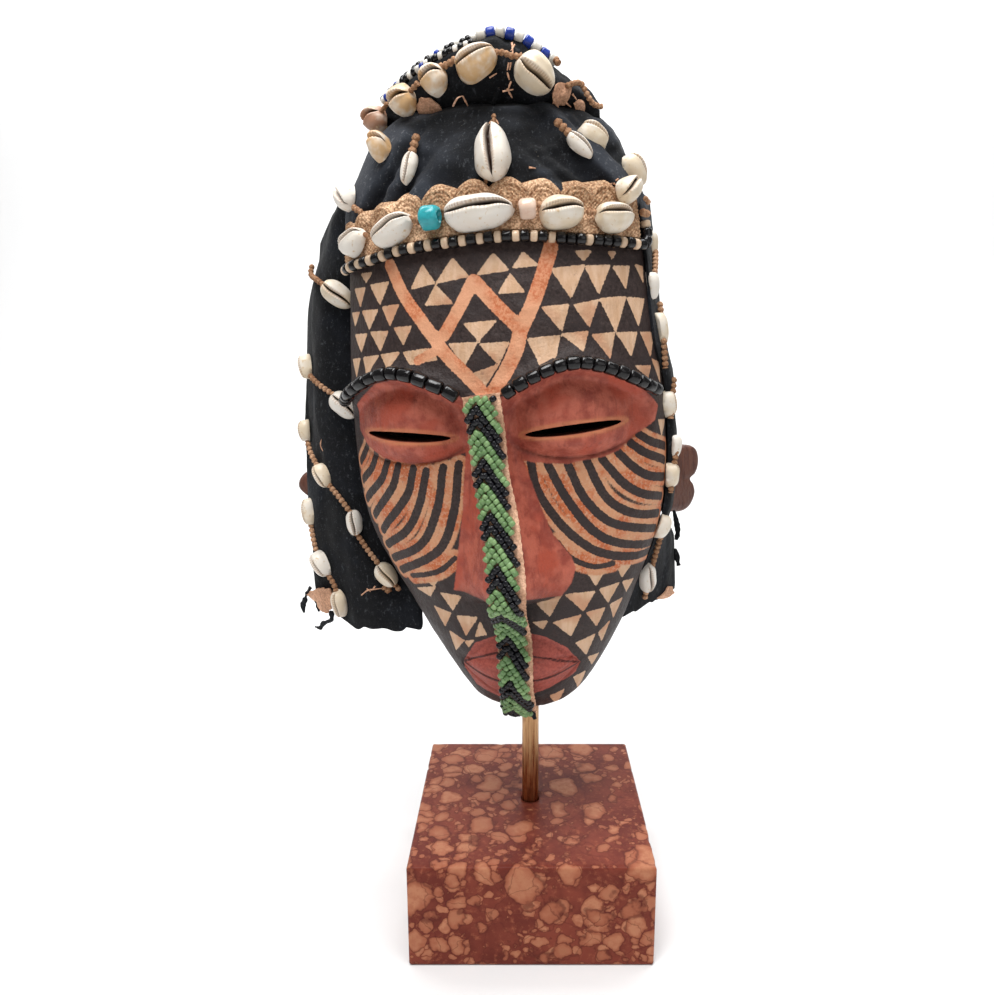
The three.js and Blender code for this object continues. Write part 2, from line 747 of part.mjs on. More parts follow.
const unite = (geometries) => fromManifold(
  geometries.map(toManifold).reduce((whole, piece) => whole.add(piece)),
);

// A slender shell that hangs from a short wrapped cord sewn to the cap
function pendant(x, height, length, turn, cordLength) {
  const lift = restGap + 0.3;
  const seat = onHead(x, height, turn, lift);
  const start = new THREE.Vector3(-length * 0.4, 0, cordRadius).applyMatrix4(seat);
  const end = new THREE.Vector3(-length * 0.5 - cordLength, 0, cordRadius + 0.6).applyMatrix4(seat);
  return unite([
    cowrie(length, 7.5).applyMatrix4(seat),
    beadString([start, end], 3, () => cordRadius, point(0, 1, 0), cordSides),
  ]);
}
add(mask, 'cowrie_pendant_left', pendant(-34.5, 359.4, 16, -102, 8), finishes.shell);
add(mask, 'cowrie_pendant_right', pendant(46.1, 363.3, 15.5, -52, 8), finishes.shell);

// Shell strings sewn to the lappets. Cords are runs of [share of the width, height] places, and
// shells are [share, height, length, width, turn of the slit]
function shellString(cloth, cords, shells) {
  const surface = (share, height) => clothPoint(cloth, share, height);
  const lift = clothThickness / 2 + restGap + 0.2;
  return unite([
    ...cords.map((places) => {
      const path = new THREE.CatmullRomCurve3(
        places.map(([share, height]) => lifted(surface, share, height, lift + cordRadius)),
      );
      const knots = Math.max(2, Math.round(path.getLength() / knotSpacing));
      return beadString(path.points, knots, () => cordRadius, point(0, 1, 0), cordSides);
    }),
    ...shells.map(([share, height, length, width, turn]) => cowrie(length, width)
      .applyMatrix4(seatOn(surface, share, height, turn, lift))),
  ]);
}

const shellStrings = {
  shell_string_left_1: [leftLappet,
    [[[0.03, 323], [0.12, 318], [0.4, 314], [0.6, 310]]],
    [[0.77, 306, 19, 12, -42]]],
  shell_string_left_2: [leftLappet,
    [[[0.25, 264], [0.45, 259], [0.8, 250]]],
    [[0.2, 268.5, 14, 9, -78], [0.84, 246.5, 18, 12, -48]]],
  shell_string_left_3: [leftLappet,
    [[[0.1, 228], [0.2, 220], [0.36, 211]], [[0.5, 203], [0.66, 194], [0.77, 184]],
      [[0.74, 175], [0.8, 163], [0.85, 151]], [[0.86, 146], [0.89, 139]]],
    [[0.1, 232, 13, 8, -88], [0.43, 207.5, 14.5, 9.5, -62], [0.76, 180, 15, 9, -88],
      [0.85, 148.5, 16, 11, -55]]],
  shell_string_left_4: [leftLappet,
    [[[0.06, 180], [0.1, 169], [0.15, 158]], [[0.2, 151], [0.29, 143], [0.3, 136]]],
    [[0.06, 184, 16.5, 8.5, -88], [0.2, 154, 16.5, 11, -58], [0.3, 130.5, 17, 9.5, -88]]],
  shell_string_right_1: [rightLappet,
    [[[0.5, 316], [0.35, 309], [0.12, 300]]],
    [[0.5, 319.5, 14, 8, -85], [0.12, 298, 14, 9, -85]]],
  shell_string_right_2: [rightLappet,
    [[[0.5, 290], [0.5, 281]], [[0.42, 272], [0.25, 258]]],
    [[0.46, 276.5, 17, 9, -86]]],
  shell_string_right_3: [rightLappet,
    [[[0.62, 252], [0.5, 240]]],
    [[0.45, 238.5, 14, 8.5, -80]]],
  shell_string_right_4: [rightLappet,
    [[[0.6, 214], [0.45, 201], [0.3, 192]]],
    [[0.62, 214, 13, 8.5, -85], [0.45, 201, 14, 9.5, -72]]],
  shell_string_right_5: [rightLappet,
    [[[0.1, 174], [0.12, 163], [0.18, 148]], [[0.2, 142], [0.26, 131]]],
    [[0.12, 174, 14, 9, -88], [0.2, 144, 18.5, 11.5, -84]]],
};
for (const [name, [cloth, cords, shells]] of Object.entries(shellStrings)) {
  add(mask, name, shellString(cloth, cords, shells), finishes.shell);
}

export default object;
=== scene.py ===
"""A carved and beaded Kuba mask with a black cloth hood, on a brass rod and a marble base."""

import math

import bpy
import numpy as np
from mathutils import Matrix, Vector


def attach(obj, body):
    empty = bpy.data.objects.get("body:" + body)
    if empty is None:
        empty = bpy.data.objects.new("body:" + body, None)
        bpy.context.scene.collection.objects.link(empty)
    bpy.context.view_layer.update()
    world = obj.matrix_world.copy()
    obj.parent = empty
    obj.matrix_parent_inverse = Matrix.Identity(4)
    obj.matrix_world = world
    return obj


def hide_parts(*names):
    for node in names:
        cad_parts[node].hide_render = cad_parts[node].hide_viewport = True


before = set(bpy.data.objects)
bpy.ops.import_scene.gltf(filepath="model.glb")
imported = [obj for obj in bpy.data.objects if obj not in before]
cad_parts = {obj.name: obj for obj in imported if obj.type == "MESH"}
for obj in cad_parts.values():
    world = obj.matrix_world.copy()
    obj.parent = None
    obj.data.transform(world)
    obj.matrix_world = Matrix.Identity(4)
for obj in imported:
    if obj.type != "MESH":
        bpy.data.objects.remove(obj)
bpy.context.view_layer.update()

# Sizes in millimetres. The mask has its own frame: x to the viewer's right, depth towards the
# viewer from the plane of the face's rim, and height above the top of the marble.
MM = 0.001
BASE_SIDE = 134
BASE_HEIGHT = 60
ROD_RADIUS = 5
PIVOT = 60
RIM_FORWARD = 18
YAW = math.radians(7)
LEAN = math.radians(3.6)
CHIN = 72
WOOD_TOP = 329.6
CAP_BOTTOM = 330
FACE_SKEW = -3.5
MOUTH_X = 2
MOUTH_HEIGHT = 106
EYE_OUT = 41.5
EYE_HEIGHT = 232.5

STANCE = (
    Matrix.Translation((0, 0, (BASE_HEIGHT + PIVOT) * MM))
    @ Matrix.Rotation(-YAW, 4, "Z")
    @ Matrix.Rotation(-LEAN, 4, "Y")
    @ Matrix.Translation((0, -RIM_FORWARD * MM, -PIVOT * MM))
    @ Matrix.Scale(MM, 4)
)

# The photograph's camera, in pixels and metres
PHOTO_SIZE = (994, 995)
PHOTO_CENTRE = (520.8, 492.3)
FOCAL = 810.8
PITCH = math.radians(11.11)
CAMERA_AT = Vector((-0.0058, -0.4525, 0.3397))


def through(*knots):
    """A smooth curve through (position, value) knots."""
    at, value = np.array(knots, float).T
    order = np.arange(len(at))
    before, after = np.maximum(order - 1, 0), np.minimum(order + 1, len(at) - 1)
    slope = (value[after] - value[before]) / (at[after] - at[before])

    def curve(position):
        position = np.asarray(position, float)
        i = np.clip(np.searchsorted(at, position) - 1, 0, len(at) - 2)
        span = at[i + 1] - at[i]
        t = np.clip((position - at[i]) / span, 0, 1)
        s = 1 - t
        return (
            value[i] * s * s * (1 + 2 * t)
            + value[i + 1] * t * t * (3 - 2 * t)
            + span * (slope[i] * t * s * s - slope[i + 1] * t * t * s)
        )

    return curve


def smooth(low, high, x):
    t = np.clip((np.asarray(x, float) - low) / (high - low), 0, 1)
    return t * t * (3 - 2 * t)


def lerp(a, b, t):
    return a + (b - a) * t


def bell(x, width):
    return np.exp(-((x / width) ** 2))


def level(value):
    """A curve that keeps one value."""
    return lambda share: value + 0 * share


def rounded(across):
    """How far a rounded front stands forward: 1 at its middle and 0 at its edges."""
    return np.sqrt(1 - np.abs(across) ** 2.2)


def circle(sides):
    return np.linspace(0, 2 * math.pi, sides, endpoint=False)


def run_along(path):
    """How far along a path each of its points is."""
    return np.concatenate([[0], np.cumsum(np.linalg.norm(np.diff(path, axis=0), axis=1))])


def point(x, depth, height):
    """Points of the mask's frame, with any of the three an array."""
    x, depth, height = np.broadcast_arrays(x, depth, height)
    return np.stack([x, -depth, height], -1).astype(float)


def waves(points, size, seed, stretch=(1, 1, 1)):
    """Smooth unevenness of about one unit, with features of that size, the same on each run."""
    count = 28
    rng = np.random.default_rng(seed)
    direction = rng.normal(size=(count, 3))
    direction /= np.linalg.norm(direction, axis=1)[:, None]
    pace = 2 * math.pi / (size * rng.uniform(0.7, 2.2, count))
    shift = rng.uniform(0, 2 * math.pi, count)
    flat = (points / np.array(stretch)).reshape(-1, 3)
    total = np.zeros(len(flat))
    for d, p, s in zip(direction, pace, shift):
        total += np.sin(flat @ d * p + s) * 0.5 / p
    return (total / np.abs(0.5 / pace).mean() / math.sqrt(count) * 1.4).reshape(points.shape[:-1])


half_width = through(
    (CHIN, 8), (75, 18.5), (81, 27.2), (87, 33), (99, 41), (111, 48), (126, 56), (141, 62.8),
    (157, 70.5), (180, 79.2), (205, 83.2), (235, 83.7), (271, 81.7), (300, 79), (330, 76.8),
)
middle_x = through((CHIN, 1.5), (100, 2.8), (130, 2.8), (165, 1), (200, 0))
middle_depth = through(
    (CHIN, 6), (75, 13), (81, 22), (87, 27.5), (96, 31), (108, 33.5), (125, 36), (145, 38),
    (182, 41), (211, 43.5), (235, 47), (255, 51.5), (275, 50.5), (300, 47), (330, 40),
)
brow_line = through((4, 248), (20, 257), (42, 264), (62, 259), (84, 245))
nose_middle = through((144, 3.5), (165, 3), (182, 1.5), (211, -1), (252, FACE_SKEW))
nose_half_width = through((144, 29), (156, 31), (166, 28), (182, 21), (211, 12), (252, 7))
nose_rise = through(
    (144, 0), (148, 15), (153, 21.5), (162, 21), (182, 17), (211, 11), (235, 6), (252, 1)
)


def head_depth(x, height):
    across = np.minimum(1, np.abs(x - middle_x(height)) / half_width(height))
    return middle_depth(height) * rounded(across)


def lips(x, height):
    """Two full lips with a flatter tongue between them, each bounded by a cut line."""
    along = 1 - ((x - MOUTH_X) / 32) ** 2
    inside = along - np.abs(height - MOUTH_HEIGHT) / 18
    upper = height - (109 + 3.5 * along)
    lower = height - (109 - 9.5 * along)
    cut = 1.3 * smooth(0.02, 0.3, along) * (bell(upper, 0.9) + bell(lower, 0.9))
    return 5.5 * smooth(0, 0.8, inside) - cut - 0.9 * bell(inside, 0.05) * (along > 0)


def eye_lid(side, height):
    """An oval about the eye: 0 at its edge and 1 at its middle."""
    tall = lerp(14.5, 26, smooth(-4, 8, height - EYE_HEIGHT))
    return 1 - ((side - EYE_OUT) / 33) ** 2 - ((height - EYE_HEIGHT) / tall) ** 2


def carving(x, height):
    """What stands on the plain face, or is sunk in it."""
    side = np.abs(x - FACE_SKEW)
    below = brow_line(side) - height
    towards_rim = 1 - smooth(70, 82, side)
    ridge = 3 * bell(below, 6) * towards_rim
    socket = 5 * smooth(0, 9, below) * (1 - smooth(22, 50, below))
    socket = socket * smooth(5, 16, side) * towards_rim
    lid = eye_lid(side, height)
    fold = 0.9 * bell(lid - 0.02, 0.08) * smooth(EYE_HEIGHT - 2, EYE_HEIGHT - 9, height)
    eye = 8.5 * smooth(-0.05, 0.95, lid) - fold
    across = np.abs(x - nose_middle(height)) / nose_half_width(height)
    on_nose = (height > 144) & (height < 252)
    nose = np.where(on_nose, nose_rise(height) * (1 - smooth(0.15, 1, across)), 0)
    return ridge - socket + eye + nose + lips(x, height)


def face_depth(x, height):
    return head_depth(x, height) + carving(x, height)


CAP_LEVELS = (
    (CAP_BOTTOM, 76.5, 0, 40, 0, -40, -78),
    (343, 76, -0.5, 39, -2, -40, -77),
    (356, 74, -0.5, 36.5, -5, -38, -74),
    (368, 70, -0.5, 32, -8, -35, -69),
    (379, 63.5, -0.5, 25.5, -12, -32, -61),
    (387, 56.5, -1.5, 18, -16, -29, -52),
    (393, 45, -3, 6, -18, -26, -40),
)
CAP_POLE = (396, -4, -22)
cap_half, cap_middle, cap_front, cap_front_end, cap_back_start, cap_back = (
    through(*[(level[0], level[item]) for level in CAP_LEVELS]) for item in range(1, 7)
)


def crown(t, height):
    """Surface of the head: t runs from -1 at the left side to 1 at the right side."""
    on_cap = np.asarray(height) >= CAP_BOTTOM
    half = np.where(on_cap, cap_half(height), half_width(height))
    middle = np.where(on_cap, cap_middle(height), 0)
    front = np.where(on_cap, cap_front(height), middle_depth(height))
    end = np.where(on_cap, cap_front_end(height), 0)
    across = np.sin(math.pi / 2 * np.asarray(t, float))
    bulge = rounded(np.minimum(1, np.abs(across)))
    return point(middle + across * half, end + (front - end) * bulge, height)


CREST_STATIONS = (
    (-60, 388, 394, -14, 4), (-55, 386, 401, -12, 9), (-44, 387, 407, -7, 13),
    (-29, 387.5, 413.5, -1, 16), (-12, 388, 418.5, 3, 17.5), (5, 388, 422, 4, 18),
    (18, 387.5, 419, 3, 17.5), (30, 387, 410.5, 0, 16), (42, 386, 402, -5, 13),
    (52, 384, 395, -10, 9), (56, 384.5, 390.5, -12, 5),
)
crest_low, crest_high, crest_depth, crest_reach = (
    through(*[(station[0], station[item]) for station in CREST_STATIONS]) for item in range(1, 5)
)


def crest_surface(x, rise):
    """Surface of the crest: rise is the angle from its front up to its top, in degrees."""
    angle = np.radians(rise)
    low, high = crest_low(x), crest_high(x)
    up = np.sin(angle) * (high - low) / 2
    return point(x, crest_depth(x) + crest_reach(x) * np.cos(angle), (low + high) / 2 + up)


def slopes(surface, u, v):
    """Directions along a surface, in each of its two coordinates."""
    step, rise = 0.01, 0.5
    across = surface(u + step, v) - surface(u - step, v)
    return across, surface(u, v + rise) - surface(u, v - rise)


def seat(surface, u, v, turn=0.0, lift=0.0):
    """Frame of a place on a surface: x along it, turned up by an angle, and z standing out."""
    across, up = slopes(surface, u, v)
    across /= np.linalg.norm(across)
    normal = np.cross(across, up / np.linalg.norm(up))
    normal /= np.linalg.norm(normal)
    side = np.cross(normal, across)
    angle = math.radians(turn)
    along = across * math.cos(angle) + side * math.sin(angle)
    place = np.eye(4)
    place[:3, 0], place[:3, 1], place[:3, 2] = along, np.cross(normal, along), normal
    place[:3, 3] = surface(u, v) + normal * lift
    return place


def lifted(surface, u, v, lift):
    return seat(surface, u, v, 0, lift)[:3, 3]


def on_head(x, height, turn, lift):
    """Seat of a thing sewn to the head, from its x and height."""
    half, middle = (half_width(height), 0)
    if height >= CAP_BOTTOM:
        half, middle = cap_half(height), cap_middle(height)
    across = float(np.clip((x - middle) / half, -0.98, 0.98))
    return seat(crown, math.asin(across) * 2 / math.pi, height, turn, lift)


# Cloth panels. A section at a height gives the three points of a level curve across the panel
CLOTH = 4
BESIDE_HEAD = 0.5 + CLOTH / 2 + 0.4
CLOSE = 1.3
left_edge = through(
    (105, -124), (139, -127.5), (189, -123.5), (249, -119.5), (284, -115.5), (306, -111.5),
    (333, -100.5), (346, -92), (358, -82),
)
right_edge = through(
    (115, 87), (157, 87.3), (238, 87), (271, 85.7), (292, 83.5), (319, 81.5), (352, 79.3)
)


def side_of_head(height):
    return np.where(np.asarray(height) < CAP_BOTTOM, half_width(height), cap_half(height))


def left_section(height):
    inner = middle_x(height) - side_of_head(height) - BESIDE_HEAD
    outer = np.minimum(left_edge(height), inner - 3)
    return (
        point(outer, -22, height), point((inner + outer) / 2, 2, height), point(inner, -7, height)
    )


def crown_lifted(t, height, lift):
    normal = np.cross(*slopes(crown, t, height))
    normal /= np.maximum(np.linalg.norm(normal, axis=-1), 1e-9)[..., None]
    return crown(t, height) + normal * lift


def right_section(height):
    wrap = lerp(0.5, 1, smooth(238, 274, height))
    side = middle_x(height) + side_of_head(height) + CLOSE
    on_rim = crown_lifted(1 - 0.2 * wrap, height, CLOSE)
    inner = lerp(point(side, -2, height), on_rim, wrap[..., None])
    outer = np.maximum(right_edge(height), side + 0.2)
    over = smooth(262, 312, height)
    bowed = smooth(14, 5, outer - side) * (1 - over)
    bend = lerp(lerp((side + outer) / 2 + 1, side + 7, bowed), side + 1.2, over)
    return (
        inner, point(bend, lerp(lerp(-12, 4, bowed), 6, over), height),
        point(lerp(outer, side + 1, bowed), -35, height),
    )


def neck_section(height):
    half = lerp(72, 84, (330 - height) / 218)
    return point(half, -62, height), point(0, -102, height), point(-half, -62, height)


def panel(section):
    """Middle surface of a hanging cloth at a share of its width and a height."""

    def surface(share, height):
        share, height = np.broadcast_arrays(np.asarray(share, float), np.asarray(height, float))
        first, middle, last = section(height)
        s = share[..., None]
        return first * (1 - s) ** 2 + middle * 2 * s * (1 - s) + last * s * s

    return surface


left_panel, right_panel, neck_panel = (
    panel(section) for section in (left_section, right_section, neck_section)
)


# Meshes
def quads(rows, columns):
    """Faces of a grid of points, row by row, with the last column joined to the first."""
    row = np.arange(rows - 1)[:, None]
    column = np.arange(columns)[None]
    after = (column + 1) % columns
    a, b = row * columns, (row + 1) * columns
    return np.stack([a + column, a + after, b + after, b + column], -1).reshape(-1, 4)


def volume(points, faces):
    corners = points[faces]
    first = np.cross(corners[:, 1], corners[:, 2])
    total = (corners[:, 0] * first).sum()
    if faces.shape[1] == 4:
        total += (corners[:, 0] * np.cross(corners[:, 2], corners[:, 3])).sum()
    return total


def loft(rings, start=None, end=None):
    """A closed body through rings of points, each end closed at a pole."""
    rings = np.asarray(rings, float)
    rows, columns = rings.shape[:2]
    start = rings[0].mean(0) if start is None else start
    end = rings[-1].mean(0) if end is None else end
    points = np.concatenate([rings.reshape(-1, 3), [start], [end]])
    side = quads(rows, columns)
    ring = np.arange(columns)
    after = (ring + 1) % columns
    last = (rows - 1) * columns
    near = np.stack([np.full(columns, rows * columns), after, ring], -1)
    far = np.stack([np.full(columns, rows * columns + 1), last + ring, last + after], -1)
    if volume(points, side) + volume(points, near) + volume(points, far) < 0:
        side, near, far = side[:, ::-1], near[:, ::-1], far[:, ::-1]
    return points, side.tolist() + near.tolist() + far.tolist()


def merged(parts):
    """One list of points and faces from several, and which part each point is of."""
    points, faces, owner, base = [], [], [], 0
    for number, (part_points, part_faces) in enumerate(parts):
        points.append(part_points)
        faces.extend([[i + base for i in face] for face in part_faces])
        owner.append(np.full(len(part_points), number))
        base += len(part_points)
    return np.concatenate(points), faces, np.concatenate(owner)


def moved(part, place):
    points, faces = part
    return points @ place[:3, :3].T + place[:3, 3], faces


def to_part(points):
    """Mask frame in millimetres to the part's frame in metres."""
    matrix = np.array(STANCE)
    return points @ matrix[:3, :3].T + matrix[:3, 3]


def mesh_object(name, points, faces):
    mesh = bpy.data.meshes.new(name)
    mesh.from_pydata(np.asarray(points).tolist(), [], faces)
    mesh.update()
    piece = bpy.data.objects.new(name, mesh)
    bpy.context.scene.collection.objects.link(piece)
    return piece


def dress(piece, look, slot, replaces=(), sharp=50, **values):
    """Material, smooth shading, painted values and the place in the frame of a finished mesh."""
    mesh = piece.data
    for name, data in values.items():
        data = np.asarray(data, np.float32)
        kind = "FLOAT" if data.ndim == 1 else "FLOAT_COLOR"
        if data.ndim == 2 and data.shape[1] == 3:
            data = np.concatenate([data, np.ones((len(data), 1), np.float32)], 1)
        layer = mesh.attributes.new(name, kind, "POINT")
        layer.data.foreach_set("value" if kind == "FLOAT" else "color", data.ravel())
    mesh.materials.clear()
    mesh.materials.append(look)
    mesh.shade_smooth()
    mesh.set_sharp_from_angle(angle=math.radians(sharp))
    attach(piece, "root")
    if replaces:
        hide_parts(*replaces)
    return piece


def masked(name, part, look, slot, replaces=(), sharp=50, **values):
    """A piece from points in the mask's frame."""
    points, faces = part[:2]
    return dress(mesh_object(name, to_part(points), faces), look, slot, replaces, sharp, **values)


def smooth_path(places, spacing):
    """Points along a smooth curve through some places, at even distances."""
    places = np.asarray(places, float)
    at = run_along(places)
    axes = [through(*zip(at, column)) for column in places.T]
    fine = np.linspace(0, at[-1], 40 * len(places))
    dense = np.stack([axis(fine) for axis in axes], -1)
    run = run_along(dense)
    count = max(2, int(round(run[-1] / spacing)) + 1)
    even = np.linspace(0, run[-1], count)
    return np.stack([np.interp(even, run, column) for column in dense.T], -1)


def frames_along(path, outward):
    """At each point of a path: along it, outwards and sideways."""
    along = np.gradient(path, axis=0)
    along /= np.linalg.norm(along, axis=1)[:, None]
    outward = np.broadcast_to(np.asarray(outward, float), path.shape)
    out = outward - (outward * along).sum(1)[:, None] * along
    out /= np.linalg.norm(out, axis=1)[:, None]
    return along, out, np.cross(out, along)


def tube(path, radius, outward, sides=10, twist=0.0, ridges=0, ridge=0.0, flat=1.0):
    """A round or flattened body along a path, its radius changing, or with ridges round it."""
    _, out, side = frames_along(path, outward)
    run = run_along(path)
    angle = circle(sides)
    radius = np.broadcast_to(np.asarray(radius, float), len(path))[:, None]
    wound = radius * (1 + ridge * np.cos(ridges * angle[None] - twist * run[:, None]))
    rings = (
        path[:, None]
        + out[:, None] * (flat * wound * np.cos(angle))[..., None]
        + side[:, None] * (wound * np.sin(angle))[..., None]
    )
    return loft(rings)


# Materials
class Look:
    """One material and the nodes that feed its shader."""

    def __init__(self, name, **fixed):
        self.material = bpy.data.materials.new(name)
        self.material.use_nodes = True
        self.tree = self.material.node_tree
        self.shader = self.tree.nodes["Principled BSDF"]
        self.place = self.add("TexCoord").outputs["Object"]
        for socket, value in fixed.items():
            self.feed(self.shader.inputs[socket.replace("_", " ")], value)

    def feed(self, socket, value):
        if isinstance(value, bpy.types.NodeSocket):
            self.tree.links.new(value, socket)
        else:
            socket.default_value = value

    def add(self, kind, inputs=(), **settings):
        node = self.tree.nodes.new("ShaderNode" + kind)
        for key, value in settings.items():
            setattr(node, key, value)
        for key, value in dict(inputs).items():
            self.feed(node.inputs[key], value)
        return node

    def noise(self, scale, detail=3.0, roughness=0.5, place=None):
        node = self.add("TexNoise", {
            "Vector": place or self.place, "Scale": scale, "Detail": detail,
            "Roughness": roughness,
        })
        return node.outputs["Fac"]

    def cells(self, scale, feature="F1", output="Distance", place=None):
        node = self.add("TexVoronoi", {
            "Vector": place or self.place, "Scale": scale,
        }, feature=feature)
        return node.outputs[output]

    def value(self, name):
        return self.add("Attribute", attribute_name=name).outputs["Fac"]

    def colour(self, name):
        return self.add("Attribute", attribute_name=name).outputs["Color"]

    def sum(self, operation, first, second=0.0, third=0.0):
        node = self.add("Math", {0: first, 1: second, 2: third}, operation=operation)
        return node.outputs[0]

    def step(self, value, low, high, start=0.0, end=1.0):
        node = self.add("MapRange", {
            "Value": value, "From Min": low, "From Max": high, "To Min": start, "To Max": end,
        }, interpolation_type="SMOOTHSTEP")
        return node.outputs["Result"]

    def mix(self, share, first, second, blend="MIX"):
        node = self.add("Mix", {0: share, 6: first, 7: second}, data_type="RGBA", blend_type=blend)
        return node.outputs[2]

    def stretched(self, x, y, z):
        return self.add("Mapping", {"Vector": self.place, "Scale": (x, y, z)}).outputs["Vector"]

    def raised(self, *heights):
        """Relief from (height, distance in millimetres) pairs, one over the other."""
        normal = None
        for height, distance in heights:
            inputs = {"Height": height, "Distance": distance * MM, "Strength": 1.0}
            if normal is not None:
                inputs["Normal"] = normal
            normal = self.add("Bump", inputs).outputs["Normal"]
        self.feed(self.shader.inputs["Normal"], normal)

    def done(self, colour=None, roughness=None):
        if colour is not None:
            self.feed(self.shader.inputs["Base Color"], colour)
        if roughness is not None:
            self.feed(self.shader.inputs["Roughness"], roughness)
        return self.material


def rgb(red, green, blue):
    """A colour given as it looks on a screen, from 0 to 255."""
    linear = [(c / 255) / 12.92 if c <= 10 else ((c / 255 + 0.055) / 1.055) ** 2.4
              for c in (red, green, blue)]
    return (*linear, 1.0)


def painted_wood():
    look = Look("painted_wood", Specular_IOR_Level=0.3)
    rough_edge = look.noise(900, 2.0)
    fray = look.sum("MULTIPLY_ADD", rough_edge, 1.1, -0.55)
    broad = look.noise(45, 3.0)
    fine = look.noise(700, 4.0, 0.65)
    grain = look.noise(60, 4.0, 0.6, look.stretched(6, 6, 1))

    def inside(name, blur=0.16, loose=1.0, grown=0.0):
        edge = look.sum("MULTIPLY_ADD", fray, loose, look.value(name))
        return look.step(edge, -blur - grown, blur - grown)

    dark = look.mix(look.step(fine, 0.3, 0.75), rgb(38, 27, 25), rgb(66, 53, 50))
    dark = look.mix(look.step(broad, 0.45, 0.7), dark, rgb(48, 38, 37))
    light = look.mix(look.step(grain, 0.3, 0.7), rgb(200, 160, 126), rgb(214, 179, 149))
    light = look.mix(look.step(broad, 0.5, 0.66), light, rgb(192, 144, 112))
    orange = look.mix(look.step(fine, 0.35, 0.65), rgb(190, 106, 66), rgb(212, 146, 108))
    orange = look.mix(look.step(broad, 0.46, 0.62), orange, rgb(214, 154, 118))
    cheek = look.mix(look.step(look.noise(90, 3.0), 0.42, 0.6), rgb(202, 144, 106),
                     rgb(188, 98, 54))
    cheek = look.mix(look.step(fine, 0.45, 0.72), cheek, rgb(206, 162, 132))
    blotch = look.noise(110, 4.0, 0.6)
    red = look.mix(look.step(blotch, 0.36, 0.62), rgb(148, 68, 54), rgb(184, 98, 78))
    red = look.mix(look.step(broad, 0.52, 0.64), red, rgb(172, 78, 58))
    red = look.mix(look.sum("MULTIPLY", look.step(grain, 0.56, 0.7), 0.35), red,
                   rgb(108, 44, 38))
    lip = look.mix(look.step(fine, 0.35, 0.65), rgb(142, 66, 56), rgb(168, 84, 72))
    bare = look.mix(look.step(grain, 0.3, 0.7), rgb(74, 42, 34), rgb(106, 68, 54))

    shade = look.mix(inside("light", grown=0.45), dark, light)
    shade = look.mix(inside("cheek", 0.5), shade, cheek)
    shade = look.mix(inside("stripe"), shade, dark)
    shade = look.mix(inside("band", 0.2), shade, orange)
    shade = look.mix(inside("red", 0.5), shade, red)
    shade = look.mix(inside("lip", 0.2), shade, lip)
    # Painted shade along the lips' carved cut lines
    shade = look.mix(inside("line", 0.2, 0.5), shade, rgb(74, 30, 26))
    shade = look.mix(look.sum("MULTIPLY", look.value("glow"), 0.7), shade, rgb(208, 136, 92))
    pits = look.noise(230, 5.0, 0.75)
    grime = look.step(pits, 0.6, 0.76)
    shade = look.mix(look.sum("MULTIPLY", grime, 0.5), shade, rgb(84, 46, 38))
    worn = look.step(look.noise(1500, 3.0, 0.7), 0.66, 0.78)
    shade = look.mix(look.sum("MULTIPLY", worn, 0.4), shade, rgb(168, 122, 98))
    # Painted shade in the creases under the lids, under the nose and in the eye slits
    shade = look.mix(look.sum("MULTIPLY", look.value("hollow"), 0.75), shade, rgb(52, 30, 24))
    shade = look.mix(look.value("bare"), shade, bare)
    look.raised((grain, 0.5), (look.sum("SUBTRACT", 1.0, pits), 0.5), (fine, 0.22),
                (look.cells(900), 0.08))
    return look.done(shade, look.step(fine, 0.3, 0.8, 0.44, 0.7))


def black_cloth():
    look = Look("black_cloth", Specular_IOR_Level=0.2, Sheen_Weight=0.06, Sheen_Roughness=0.5)
    weave = look.sum("MULTIPLY", *(look.add("TexWave", {
        "Vector": look.place, "Scale": 420.0, "Distortion": 1.2, "Detail": 1.0,
    }, bands_direction=way).outputs["Fac"] for way in "XZ"))
    faded = look.noise(28, 4.0, 0.6)
    fluff = look.noise(1300, 3.0, 0.75)
    shade = look.mix(look.step(faded, 0.42, 0.68), rgb(10, 11, 14), rgb(23, 26, 32))
    # Painted highlight: lighter on the ridges of the cap's folds
    shade = look.mix(look.sum("MULTIPLY", look.value("ridge"), 0.6), shade, rgb(60, 64, 72))
    shade = look.mix(look.step(fluff, 0.58, 0.78), shade, rgb(66, 67, 70))
    lint = look.step(look.noise(560, 4.0, 0.75, look.stretched(1, 1, 0.6)), 0.56, 0.68)
    # Lint, shown more strongly on the fold ridges as part of their painted highlight
    lint_and_ridge_highlight = look.sum("MULTIPLY_ADD", look.value("ridge"), 0.4, 0.24)
    shade = look.mix(look.sum("MULTIPLY", lint, lint_and_ridge_highlight), shade, rgb(102, 105, 110))
    specks = look.step(look.cells(420), 0.06, 0.03)
    kept = look.step(look.noise(60, 1.0), 0.55, 0.6)
    shade = look.mix(look.sum("MULTIPLY", specks, kept), shade, rgb(150, 140, 128))
    look.raised((look.noise(160, 4.0, 0.6), 0.5), (weave, 0.04), (fluff, 0.14))
    return look.done(shade, 0.92)


